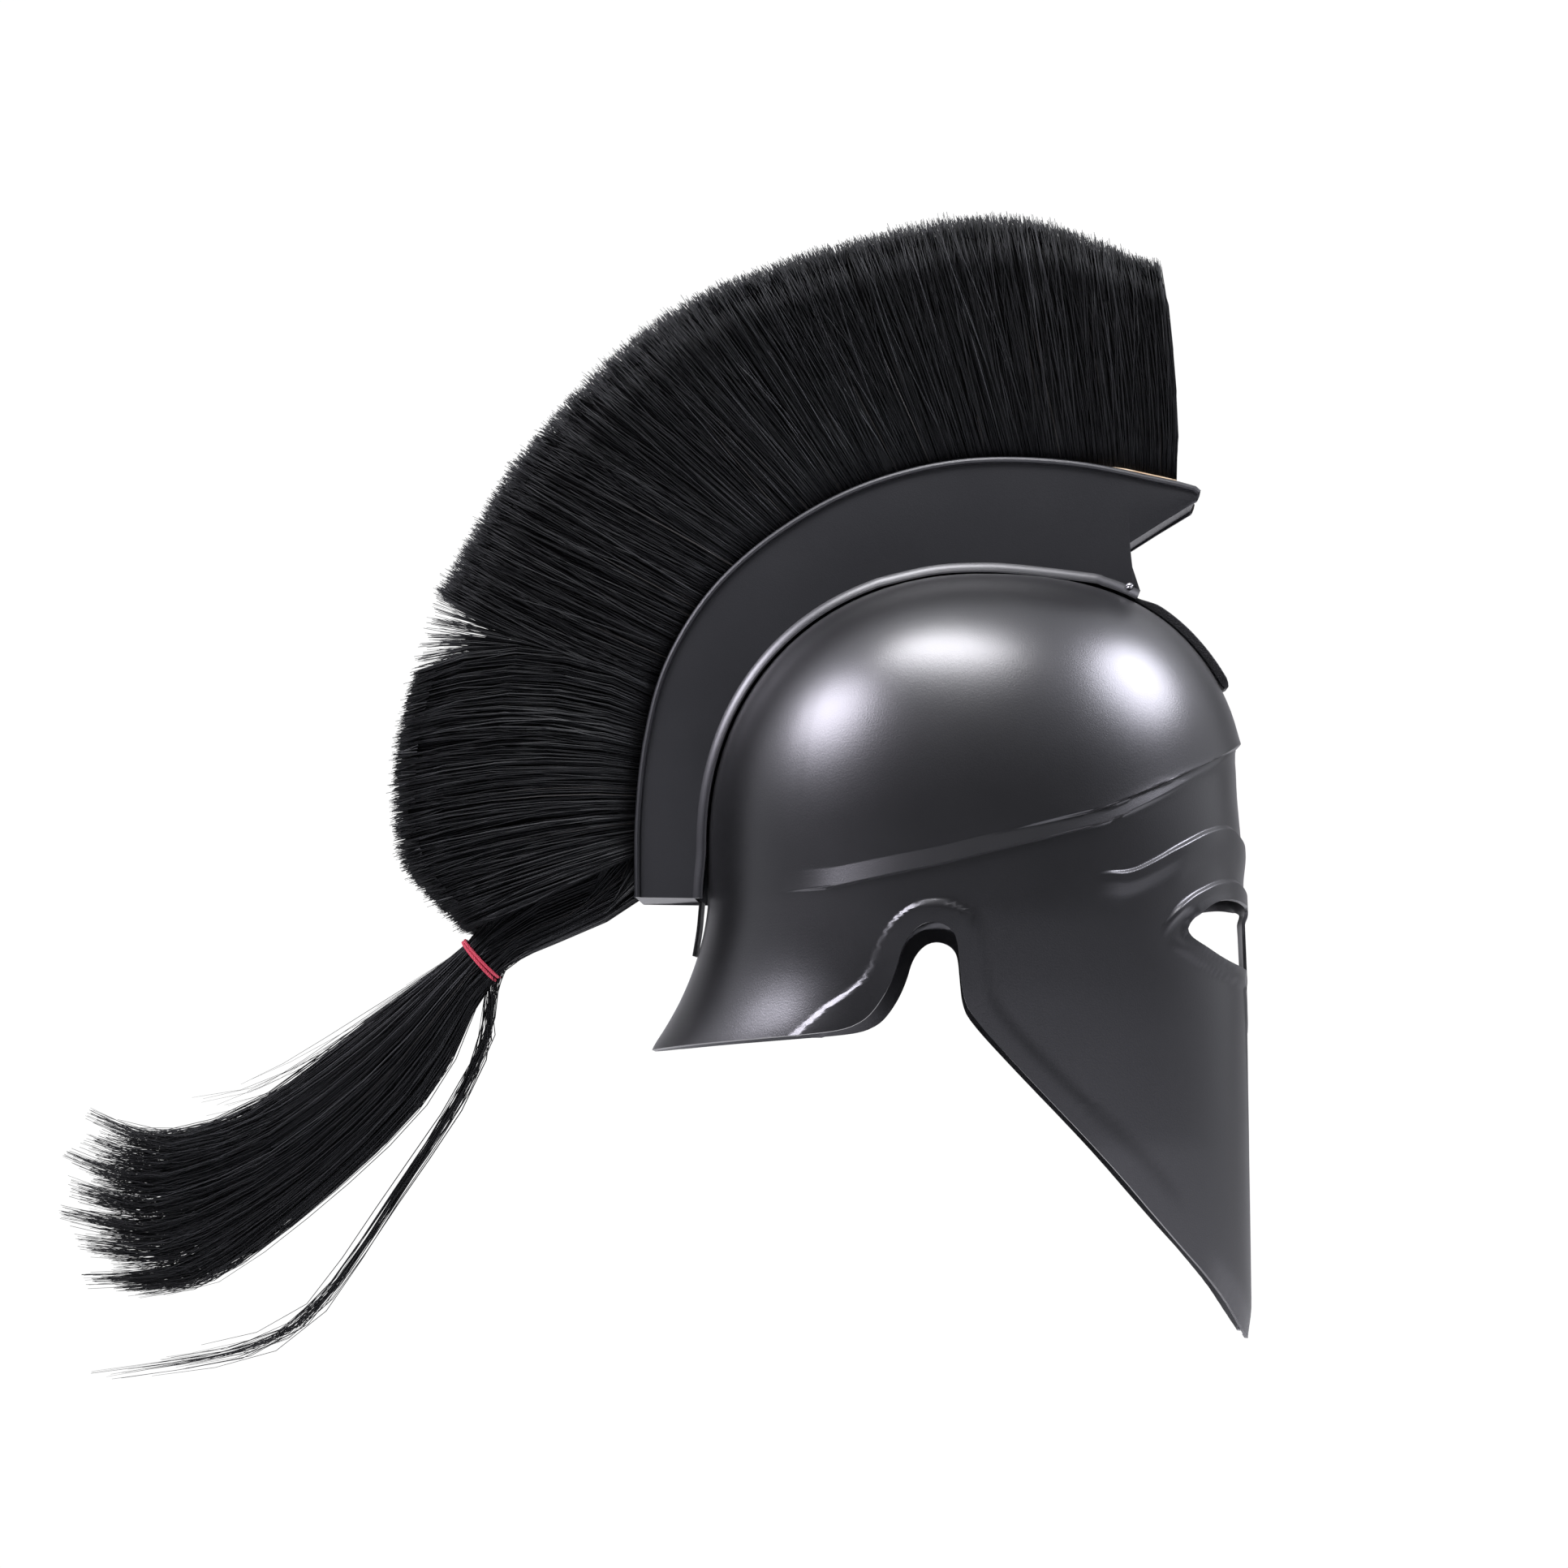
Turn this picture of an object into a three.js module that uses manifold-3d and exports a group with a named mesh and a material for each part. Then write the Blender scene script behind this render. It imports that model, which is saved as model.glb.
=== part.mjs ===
// A Corinthian helmet of black-painted sheet steel with a horsehair plume on a curved crest box.
// Millimetres. +X is the way the face looks, +Y the wearer's left, +Z up.
// The origin is the inner crown of the helmet, the point that sits on the wearer's head.
import * as THREE from "three";
import { mergeVertices } from "three/addons/utils/BufferGeometryUtils.js";
import Module from "manifold-3d";

const wasm = await Module();
wasm.setup();

// ---- driving dimensions -------------------------------------------------------------------------
const WALL = 1.4; // steel sheet of the helmet
const GAP = 0.3; // between pieces that touch
const SHELL_COLUMNS = 48;
const SHELL_DOME_ROWS = 9;
const SHELL_WALL_ROWS = 17;
const SHELL_BOTTOM = -336;
const CLEAR = 160; // cutters reach this far to each side, past everything they cut

// The skull is a quarter of a superellipse to the front, the side and the back:
// reach is its half size, equator the height where it is widest, power how full it is.
const SKULL = {
  front: { reach: 110.8, equator: -95, power: 2.52 },
  side: { reach: 92, equator: -112, power: 2.2 },
  rear: { reach: 115.8, equator: -116, power: 2.14 },
};

// Below the skull the wall's reach at each height; the back flares out as the neck guard.
const WALL_REACH = {
  front: [
    { z: -95, reach: 110.8 },
    { z: -120, reach: 112.5 },
    { z: -190, reach: 113.9 },
    { z: -336, reach: 113.1 },
  ],
  side: [
    { z: -112, reach: 92 },
    { z: -150, reach: 91 },
    { z: -180, reach: 89 },
    { z: -240, reach: 84 },
    { z: -336, reach: 69 },
  ],
  rear: [
    { z: -116, reach: 115.8 },
    { z: -141, reach: 115.8 },
    { z: -152, reach: 117.3 },
    { z: -162, reach: 119.8 },
    { z: -172, reach: 123.2 },
    { z: -183, reach: 128 },
    { z: -194, reach: 134.2 },
    { z: -204, reach: 141 },
    { z: -336, reach: 141 },
  ],
};
const GUARD_FLARE = { out: 7, topZ: -150, edgeZ: -203, fromX: -20, fullX: -80 };

// The brow crease, where the skull overhangs the face: it falls towards the back and fades out.
const CREASE = [
  { x: 113, z: -71.5 },
  { x: 107, z: -77.5 },
  { x: 95, z: -85.2 },
  { x: 75, z: -95.6 },
  { x: 50, z: -107.4 },
  { x: 24, z: -114 },
  { x: -15, z: -123.3 },
  { x: -57, z: -130.6 },
  { x: -130, z: -133 },
];
const OVERHANG = { out: 3.4, drop: 6, rise: 30, fadeX: 60, goneX: -66 };

// The lower edge seen from the side: neck guard, ear notch, cheek piece.
const HEM = [
  { x: -150, z: -204.4 },
  { x: -122, z: -201 },
  { x: -85, z: -198 },
  { x: -62, z: -196.2 },
  { x: -53, z: -194.8 },
  { x: -47, z: -192.3 },
  { x: -42.5, z: -188.8 },
  { x: -36.5, z: -180.2 },
  { x: -32.4, z: -170.8 },
  { x: -30.4, z: -163.4 },
  { x: -27.5, z: -158.2 },
  { x: -23.4, z: -154.2 },
  { x: -18.3, z: -152.8 },
  { x: -13.2, z: -154.2 },
  { x: -10, z: -157 },
  { x: -8.4, z: -161 },
  { x: -7.6, z: -171.5 },
  { x: -6.6, z: -182 },
  { x: -3.4, z: -189.8 },
  { x: 14.3, z: -209.4 },
  { x: 49.5, z: -246 },
  { x: 73.5, z: -274.2 },
  { x: 95.8, z: -299 },
  { x: 107, z: -317.2 },
  { x: 112.6, z: -326 },
  { x: 125, z: -330 },
];

// The raised border round the ear notch and down the cheek, as its outer line.
const BORDER = [
  { x: -68, z: -193.3 },
  { x: -65, z: -186.2 },
  { x: -54, z: -181.8 },
  { x: -47, z: -177.8 },
  { x: -42.5, z: -170.8 },
  { x: -39.5, z: -160.8 },
  { x: -34.6, z: -153.4 },
  { x: -29, z: -148.2 },
  { x: -23, z: -145.4 },
  { x: -17, z: -144.6 },
  { x: -10.5, z: -145.8 },
  { x: -4, z: -149.8 },
  { x: 0, z: -155.8 },
  { x: 1.4, z: -170.8 },
  { x: 3, z: -185.8 },
  { x: 26.6, z: -211.2 },
  { x: 58, z: -240.8 },
  { x: 72, z: -255.8 },
];
const BORDER_RISE = 1;

// One eye with its half of the face slot, seen from the front; the other is its mirror image.
const FACE_OPENING = [
  { y: 8.5, z: -146 },
  { y: 14, z: -144.4 },
  { y: 26, z: -142.8 },
  { y: 38, z: -141.6 },
  { y: 48, z: -142.2 },
  { y: 55.6, z: -145.6 },
  { y: 60, z: -150.6 },
  { y: 63, z: -155.6 },
  { y: 56, z: -161.4 },
  { y: 44, z: -166.8 },
  { y: 28, z: -169.6 },
  { y: 17.5, z: -171 },
  { y: 16, z: -178 },
  { y: 13.5, z: -205 },
  { y: 9, z: -300 },
  { y: 8, z: -340 },
  { y: -1, z: -340 },
  { y: -1, z: -201 },
  { y: 3.6, z: -199.4 },
  { y: 6.4, z: -194 },
  { y: 7.8, z: -170 },
];
const FACE_CUT_FROM = 55; // how far forward the openings' cutters start
const FACE_CUT_TO = 130;

// Beads raised over the eyes, each a half-sunk roll along the wall from the nose outwards:
// the upper lid, then the eyebrow.
const EYE_BEADS = [
  { radius: 2.3, line: [
    { y: 0, z: -137.5 },
    { y: 9, z: -134.4 },
    { y: 28, z: -135.6 },
    { y: 47, z: -140 },
    { y: 58, z: -145 },
    { y: 69, z: -153.6 },
  ] },
  { radius: 1.9, line: [
    { y: 0, z: -117.6 },
    { y: 10, z: -113.2 },
    { y: 34, z: -113.4 },
    { y: 50, z: -116.8 },
    { y: 68, z: -126.8 },
    { y: 77, z: -132 },
    { y: 82, z: -134.4 },
  ] },
];

// Crest box: a channel of sheet, open along its outer edge.
const CREST_WIDTH = 26;
const CREST_WALL = 1.5;
const CREST_BEAD = 1.5;
const CREST_END = -136.5; // inner face of its closed nape end
const CREST_FLOOR = 4; // height of its floor and inner bead over the skull
const CREST_SKIRT = 2; // how far its walls run down past the skull's middle line
const CREST_REAR_X = -200; // its floor is drawn from behind its nape end to its lower front corner
const CREST_FRONT_X = 66;
const CREST_STEPS = 14;
const CREST_EDGE = [
  { x: -145.8, z: -138 },
  { x: -145.8, z: -104 },
  { x: -142.4, z: -70 },
  { x: -134, z: -38 },
  { x: -117, z: -8.6 },
  { x: -93.2, z: 14.9 },
  { x: -62, z: 34.6 },
  { x: -30, z: 46.4 },
  { x: 4, z: 51.4 },
  { x: 44.4, z: 48.9 },
  { x: 87.1, z: 39.4 },
];
const CREST_TIP = [
  { x: 95.4, z: 37.2 },
  { x: 97.6, z: 34.8 },
  { x: 96, z: 31.6 },
  { x: 66.7, z: 13.4 },
];
const CREST_FRONT_WALL = [ // inner face of its closed front end
  { x: 90, z: 50 },
  { x: 90, z: 30.4 },
  { x: 64.8, z: 14.6 },
];

// Straps that go on from the crest's ends along the skull.
const STRAP = { width: 14, thick: 4.2, lift: 0.2, fromX: 67.4, toX: 106.5 };
const TANG = { width: 14, thick: 2, fromZ: -141, toZ: -163 };
const RIVET = { x: 64, lift: 4.2, head: 2.2, high: 2.4 };

// Wooden base of the plume, in the mouth of the channel.
const BASE_DEEP = 10;
const BASE_FROM = 0.012; // its ends as shares of the crest's edge
const BASE_TO = 1;
const BASE_STEPS = 24;

// Hair: how far along the crest's edge its roots stand (0 is the nape end), where its tips end,
// and how far the strands between bow upwards.
const HAIR = [
  { edge: 1, tipX: 80, tipZ: 137, bow: 3 },
  { edge: 0.845, tipX: 13, tipZ: 160, bow: 0 },
  { edge: 0.69, tipX: -66, tipZ: 147, bow: 0 },
  { edge: 0.56, tipX: -137, tipZ: 118, bow: 0 },
  { edge: 0.43, tipX: -196, tipZ: 61, bow: 0 },
  { edge: 0.25, tipX: -234, tipZ: -3, bow: 0 },
  { edge: 0.25, tipX: -244, tipZ: -33, bow: 11 },
  { edge: 0.17, tipX: -252.4, tipZ: -78, bow: 4 },
  { edge: 0.1, tipX: -249, tipZ: -122, bow: 4 },
  { edge: 0.055, tipX: -226, tipZ: -150, bow: 0 },
];
const HAIR_GAP_AFTER = 5; // the strands part behind this row
const HAIR_ROOT_WIDTH = 21;
const HAIR_TIP_WIDTH = 40;
const HAIR_SUNK = 2.6; // the roots stand this far inside the channel's mouth
const LOCK = { count: 4, deep: 1.6, ragged: 0.02 };

// The rear hair: gathered from the crest's end through the tie, then loose in locks.
// Each row is a place along the lock: its centre, half height and half width.
const GATHERED = [
  { x: -143.6, z: -128, high: 7.4, wide: 9.6 },
  { x: -156, z: -133, high: 8.2, wide: 10.4 },
  { x: -170, z: -141, high: 8.8, wide: 12 },
  { x: -193, z: -150.5, high: 10, wide: 11 },
  { x: -215.7, z: -164.2, high: 10, wide: 8 },
  { x: -232, z: -182, high: 14, wide: 11 },
  { x: -262, z: -212, high: 18, wide: 13 },
];
const TAIL_LOCKS = [
  [
    { x: -222, z: -170, high: 5, wide: 6 },
    { x: -262, z: -196, high: 9, wide: 8 },
    { x: -312, z: -233, high: 9, wide: 8 },
    { x: -358, z: -244, high: 6, wide: 6 },
    { x: -391, z: -230, high: 1, wide: 1 },
  ],
  [
    { x: -222, z: -172, high: 5, wide: 6 },
    { x: -258, z: -206, high: 10, wide: 9 },
    { x: -310, z: -247, high: 10, wide: 9 },
    { x: -362, z: -264, high: 6, wide: 6 },
    { x: -406, z: -251, high: 1, wide: 1 },
  ],
  [
    { x: -220, z: -174, high: 5, wide: 6 },
    { x: -250, z: -214, high: 10, wide: 9 },
    { x: -296, z: -258, high: 10, wide: 9 },
    { x: -352, z: -285, high: 7, wide: 6 },
    { x: -405, z: -280, high: 1, wide: 1 },
  ],
  [
    { x: -218, z: -176, high: 5, wide: 6 },
    { x: -236, z: -214, high: 9, wide: 8 },
    { x: -273, z: -254, high: 9, wide: 8 },
    { x: -335, z: -298, high: 8, wide: 6 },
    { x: -391, z: -304, high: 1, wide: 1 },
  ],
  [
    { x: -211, z: -172, high: 3, wide: 3 },
    { x: -211.4, z: -194.8, high: 2, wide: 2 },
    { x: -225.6, z: -226.2, high: 1.6, wide: 1.6 },
    { x: -248.9, z: -261.4, high: 1.6, wide: 1.6 },
    { x: -285.5, z: -314, high: 1.6, wide: 1.6 },
    { x: -316.4, z: -331.4, high: 1.4, wide: 1.4 },
    { x: -370, z: -342.2, high: 0.8, wide: 0.8 },
  ],
];
const TIE = { x: -215.7, z: -164.2, high: 10.9, wide: 8.9, cord: 1.1, lean: 42 };

// ---- materials ----------------------------------------------------------------------------------
function finish(color, roughness, metalness) {
  return new THREE.MeshStandardMaterial({ color, roughness, metalness });
}
const PAINTED_STEEL = finish(0x2c2c30, 0.4, 0.4);
const SCREW_STEEL = finish(0x8a8c90, 0.3, 0.9);
const WOOD = finish(0xd8b98c, 0.8, 0);
const HAIR_BLACK = finish(0x141416, 0.7, 0);
const RED_ELASTIC = finish(0xc03048, 0.6, 0);

// ---- solids -------------------------------------------------------------------------------------
// A closed three.js geometry as a solid that can be joined and cut.
function solid(geometry) {
  const bare = geometry.clone();
  bare.deleteAttribute("normal");
  bare.deleteAttribute("uv");
  const merged = mergeVertices(bare, 1e-3);
  return new wasm.Manifold(new wasm.Mesh({
    numProp: 3,
    vertProperties: merged.attributes.position.array,
    triVerts: new Uint32Array(merged.index.array),
  }));
}

function named(name, made, material) {
  const { vertProperties, triVerts } = made.getMesh();
  const geometry = new THREE.BufferGeometry();
  geometry.setAttribute("position", new THREE.BufferAttribute(vertProperties, 3));
  geometry.setIndex(new THREE.BufferAttribute(triVerts, 1));
  geometry.computeVertexNormals();
  const mesh = new THREE.Mesh(geometry, material);
  mesh.name = name;
  return mesh;
}

// Moves every vertex of a geometry to the place that a function gives for it.
function moved(geometry, place) {
  const at = geometry.attributes.position;
  const v = new THREE.Vector3();
  for (let i = 0; i < at.count; i += 1) {
    v.fromBufferAttribute(at, i);
    const p = place(v, i);
    at.setXYZ(i, p.x, p.y, p.z);
  }
  return geometry;
}

// A plate whose outline is drawn in the XZ plane, between two values of y.
function plateXZ(outline, yFrom, yTo) {
  const shape = new THREE.Shape(outline.map((p) => new THREE.Vector2(p.x, p.z)));
  const made = new THREE.ExtrudeGeometry(shape, { depth: yTo - yFrom, bevelEnabled: false });
  return solid(made.rotateX(Math.PI / 2).translate(0, yTo, 0));
}

// A block whose outline is drawn in the YZ plane, between two values of x.
function blockYZ(outline, xFrom, xTo) {
  const shape = new THREE.Shape(outline.map((p) => new THREE.Vector2(p.y, p.z)));
  const made = new THREE.ExtrudeGeometry(shape, { depth: xTo - xFrom, bevelEnabled: false });
  const turn = new THREE.Matrix4().makeBasis(
    new THREE.Vector3(0, 1, 0),
    new THREE.Vector3(0, 0, 1),
    new THREE.Vector3(1, 0, 0),
  );
  return solid(made.applyMatrix4(turn).translate(xFrom, 0, 0));
}

// A round rod along a smooth line through points.
function rod(points, radius, sides, steps) {
  const section = new THREE.Shape();
  for (let i = 0; i < sides; i += 1) {
    const a = (i / sides) * 2 * Math.PI;
    section[i ? "lineTo" : "moveTo"](radius * Math.cos(a), radius * Math.sin(a));
  }
  const path = new THREE.CatmullRomCurve3(points);
  return solid(new THREE.ExtrudeGeometry(section, { steps, extrudePath: path }));
}

// ---- helmet shell -------------------------------------------------------------------------------
function along(rows, key, value, at) {
  const falling = rows[0][key] > rows[rows.length - 1][key];
  const sorted = falling ? [...rows].reverse() : rows;
  const last = sorted.length - 1;
  if (at <= sorted[0][key]) return sorted[0][value];
  if (at >= sorted[last][key]) return sorted[last][value];
  const i = sorted.findIndex((row) => row[key] > at);
  const before = sorted[i - 1];
  const share = (at - before[key]) / (sorted[i][key] - before[key]);
  return THREE.MathUtils.lerp(before[value], sorted[i][value], share);
}

// How far the sheet's outer face reaches to one side ("front", "side" or "rear") at a height.
function reach(side, z) {
  const { reach: full, equator, power } = SKULL[side];
  if (z <= equator) return along(WALL_REACH[side], "z", "reach", z);
  const up = Math.min(1, (z - equator) / (WALL - equator));
  return full * (1 - up ** power) ** (1 / power);
}

const ramp = THREE.MathUtils.smoothstep;

// The skull's overhang above the brow crease, 0 under it and at the back.
function overhang(x, z) {
  const above = z - along(CREASE, "x", "z", x);
  const fade = ramp(x, OVERHANG.goneX, OVERHANG.fadeX);
  if (above < 0) return OVERHANG.out * fade * ramp(above, -OVERHANG.drop, 0);
  return OVERHANG.out * fade * (1 - ramp(above, 0, OVERHANG.rise));
}

// The neck guard's flare at its sides.
function flare(x, z) {
  const back = 1 - ramp(x, GUARD_FLARE.fullX, GUARD_FLARE.fromX);
  const down = 1 - ramp(z, GUARD_FLARE.edgeZ, GUARD_FLARE.topZ);
  return GUARD_FLARE.out * back * down * down;
}

// The point of the outer face at a turn about the vertical axis (0 is the front) and a height.
function shellPoint(turn, z) {
  const c = Math.cos(turn);
  const s = Math.sin(turn);
  const fore = reach(c > 0 ? "front" : "rear", z);
  const side = reach("side", z);
  const x = c * fore;
  const y = s * side;
  const out = overhang(x, z);
  return new THREE.Vector3(x + c * out, y + s * (out + flare(x, z)), z);
}

function creaseHeight(turn) {
  let z = CREASE[0].z;
  for (let i = 0; i < 6; i += 1) z = along(CREASE, "x", "z", shellPoint(turn, z).x);
  return z;
}

// Rows are dome rows down to the crease, one row under the step, then wall rows to the bottom.
function shellRowHeight(row, turn) {
  const crease = creaseHeight(turn);
  if (row <= SHELL_DOME_ROWS) {
    const share = 1 - Math.cos((row / SHELL_DOME_ROWS) * (Math.PI / 2));
    return THREE.MathUtils.lerp(WALL, crease, share);
  }
  const share = (row - SHELL_DOME_ROWS - 1) / (SHELL_WALL_ROWS - 2);
  return THREE.MathUtils.lerp(crease - OVERHANG.drop, SHELL_BOTTOM, share);
}

// The closed outer face, moved in by a depth along its normals.
function shellForm(depth) {
  const rows = SHELL_DOME_ROWS + SHELL_WALL_ROWS;
  const ball = new THREE.SphereGeometry(1, SHELL_COLUMNS, rows);
  moved(ball, (v, i) => {
    const row = Math.floor(i / (SHELL_COLUMNS + 1));
    const column = i % (SHELL_COLUMNS + 1);
    const turn = (column / SHELL_COLUMNS) * 2 * Math.PI + Math.PI;
    if (row === 0) return new THREE.Vector3(0, 0, WALL);
    if (row === rows) return new THREE.Vector3(0, 0, SHELL_BOTTOM);
    return shellPoint(turn, shellRowHeight(row, turn));
  });
  ball.deleteAttribute("normal");
  ball.deleteAttribute("uv");
  const merged = mergeVertices(ball, 1e-3);
  merged.computeVertexNormals();
  const out = merged.attributes.normal;
  const n = new THREE.Vector3();
  return solid(moved(merged, (v, i) => v.addScaledVector(n.fromBufferAttribute(out, i), -depth)));
}

function mirrored(rows) {
  return rows.map((row) => ({ ...row, y: -row.y })).reverse();
}

// A roll half sunk in the wall over both eyes.
function eyeBead({ radius, line }) {
  const half = line.map(({ y, z }) => {
    const turn = Math.asin(y / reach("side", z));
    return shellPoint(turn, z);
  });
  const left = half.slice(1).reverse();
  const right = half.map((p) => new THREE.Vector3(p.x, -p.y, p.z));
  return rod([...left, ...right], radius, 6, 26);
}

function helmetShell() {
  const outer = shellForm(0);
  const inner = shellForm(WALL);
  const under = SHELL_BOTTOM - CLEAR;
  const below = [...HEM, { x: 125, z: under }, { x: -150, z: under }];
  const hem = plateXZ(below, -CLEAR, CLEAR);
  const borderArea = [...BORDER, { x: 40, z: under }, { x: -60, z: under }];
  const border = shellForm(-BORDER_RISE).intersect(plateXZ(borderArea, -CLEAR, CLEAR));
  const beads = EYE_BEADS.map(eyeBead).reduce((a, b) => a.add(b));
  return outer.add(border).add(beads).subtract(inner).subtract(hem)
    .subtract(blockYZ(FACE_OPENING, FACE_CUT_FROM, FACE_CUT_TO))
    .subtract(blockYZ(mirrored(FACE_OPENING), FACE_CUT_FROM, FACE_CUT_TO));
}

// ---- crest --------------------------------------------------------------------------------------
// The skull's middle line from the nape over the crown to the brow.
const skullLine = new THREE.SplineCurve([
  ...[-139, -120, -95, -70, -48, -30, -15, -5].map((z) => (
    new THREE.Vector2(shellPoint(Math.PI, z).x, z)
  )),
  new THREE.Vector2(0, WALL),
  ...[-2, -8, -18, -32, -46].map((z) => new THREE.Vector2(shellPoint(0, z).x, z)),
]);

// The skull's middle line under the crest box, lifted off the skull.
function crestSkull(lift) {
  return skullOffset(lift, CREST_REAR_X, CREST_FRONT_X, CREST_STEPS);
}

// Points of the skull's middle line between two values of x, lifted off the skull.
function skullOffset(lift, fromX, toX, steps) {
  const samples = 240;
  const points = [];
  for (let i = 0; i <= samples; i += 1) {
    const p = skullLine.getPoint(i / samples);
    if (p.x < fromX || p.x > toX) continue;
    const way = skullLine.getTangent(i / samples);
    points.push({ x: p.x - way.y * lift, z: p.y + way.x * lift });
  }
  const every = Math.max(1, Math.floor(points.length / steps));
  return points.filter((_, i) => i % every === 0 || i === points.length - 1);
}

const crestLine = new THREE.SplineCurve(CREST_EDGE.map((p) => new THREE.Vector2(p.x, p.z)));

// A point over the crest's edge, lifted off it.
function overCrest(share, lift) {
  const p = crestLine.getPointAt(share);
  const way = crestLine.getTangentAt(share);
  return { x: p.x - way.y * lift, z: p.y + way.x * lift };
}

function crestOffset(lift, from, to, steps) {
  const points = [];
  for (let i = 0; i <= steps; i += 1) {
    points.push(overCrest(THREE.MathUtils.lerp(from, to, i / steps), lift));
  }
  return points;
}

const crestEdge = crestOffset(0, 0, 1, 22);
const crestFloor = crestSkull(CREST_FLOOR);

function crestBox() {
  const half = CREST_WIDTH / 2;
  const outline = [...crestEdge, ...CREST_TIP, ...[...crestFloor].reverse()];
  const body = plateXZ(outline, -half, half);
  const mouth = crestEdge.map((p) => ({ x: p.x - 3, z: p.z + 3 }));
  const pocketFloor = crestSkull(CREST_FLOOR + CREST_WALL)
    .filter((p) => p.z > CREST_END && p.x < CREST_FRONT_WALL[2].x)
    .reverse();
  const pocketOutline = [
    { x: mouth[0].x, z: CREST_END },
    ...mouth.slice(1),
    ...CREST_FRONT_WALL,
    ...pocketFloor,
    { x: pocketFloor[pocketFloor.length - 1].x, z: CREST_END },
  ];
  const pocket = plateXZ(pocketOutline, -half + CREST_WALL, half - CREST_WALL);
  let made = body.subtract(pocket);
  const skirt = [...crestSkull(CREST_FLOOR + 1), ...crestSkull(-CREST_SKIRT).reverse()];
  [-1, 1].forEach((side) => {
    const a = side * half;
    const b = side * (half - CREST_WALL);
    made = made.add(plateXZ(skirt, Math.min(a, b), Math.max(a, b)));
    const bead = crestEdge.map((p) => new THREE.Vector3(p.x, side * half, p.z));
    made = made.add(rod(bead, CREST_BEAD, 6, 20));
    const low = crestFloor.map((p) => new THREE.Vector3(p.x, side * half, p.z));
    made = made.add(rod(low, CREST_BEAD * 0.7, 5, 16));
  });
  return made.subtract(shellForm(-GAP));
}

// The thin strap that goes on from the crest's nape end, bent over the neck's hollow.
function rearTang() {
  const lift = (z, by) => ({ x: shellPoint(Math.PI, z).x - by, z });
  const heights = [0, 1, 2, 3, 4].map((i) => THREE.MathUtils.lerp(TANG.fromZ, TANG.toZ, i / 4));
  const outer = heights.map((z) => lift(z, TANG.thick + 2 * GAP));
  const inner = [...heights].reverse().map((z) => lift(z, GAP));
  const half = TANG.width / 2;
  return plateXZ([...outer, ...inner], -half, half).subtract(shellForm(-GAP));
}

// A round-headed screw that stands out along y from the crest's wall at its lower front corner,
// notched where the wall flares out under it.
function rivet(side) {
  const at = skullOffset(RIVET.lift, 0, RIVET.x, 200).slice(-1)[0];
  const profile = [
    new THREE.Vector2(0, 0),
    new THREE.Vector2(RIVET.head, 0),
    new THREE.Vector2(RIVET.head, RIVET.high * 0.4),
    new THREE.Vector2(RIVET.head * 0.7, RIVET.high * 0.85),
    new THREE.Vector2(0, RIVET.high),
  ];
  const head = new THREE.LatheGeometry(profile, 12);
  if (side < 0) head.rotateX(Math.PI);
  const made = solid(head.translate(at.x, side * (CREST_WIDTH / 2 + GAP), at.z));
  return made.subtract(crestBox().translate([0, side * 1.4 * GAP, 0]));
}

function frontStrap() {
  const top = skullOffset(STRAP.lift + STRAP.thick, STRAP.fromX, STRAP.toX, 8);
  const low = skullOffset(STRAP.lift, STRAP.fromX, STRAP.toX, 8).reverse();
  const end = skullOffset(STRAP.lift + STRAP.thick / 2, STRAP.toX, STRAP.toX + 2, 1).slice(-1);
  const half = STRAP.width / 2;
  return plateXZ([...top, ...end, ...low], -half, half).subtract(shellForm(-GAP));
}

// ---- hair ---------------------------------------------------------------------------------------
// A closed tapered body along a line of rows, elliptical in section.
function lock(rows, sides, steps) {
  const centre = new THREE.CatmullRomCurve3(rows.map((p) => new THREE.Vector3(p.x, 0, p.z)));
  const last = rows.length - 1;
  const size = (key, t) => {
    const i = Math.min(last - 1, Math.floor(t * last));
    return THREE.MathUtils.lerp(rows[i][key], rows[i + 1][key], t * last - i);
  };
  const tube = new THREE.CylinderGeometry(1, 1, 1, sides, steps);
  return solid(moved(tube, (v) => {
    const t = v.y + 0.5;
    const p = centre.getPoint(t);
    const way = centre.getTangent(t);
    const across = new THREE.Vector3(-way.z, 0, way.x);
    const over = new THREE.Vector3().crossVectors(across, way);
    return p
      .addScaledVector(across, v.x * size("high", t))
      .addScaledVector(over, v.z * size("wide", t));
  }));
}

// The tips of the brush, as one smooth line on each side of its parting.
const brushTips = [HAIR.slice(0, HAIR_GAP_AFTER + 1), HAIR.slice(HAIR_GAP_AFTER + 1)].map((rows) => (
  new THREE.SplineCurve(rows.map((p) => new THREE.Vector2(p.tipX, p.tipZ)))
));

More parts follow.
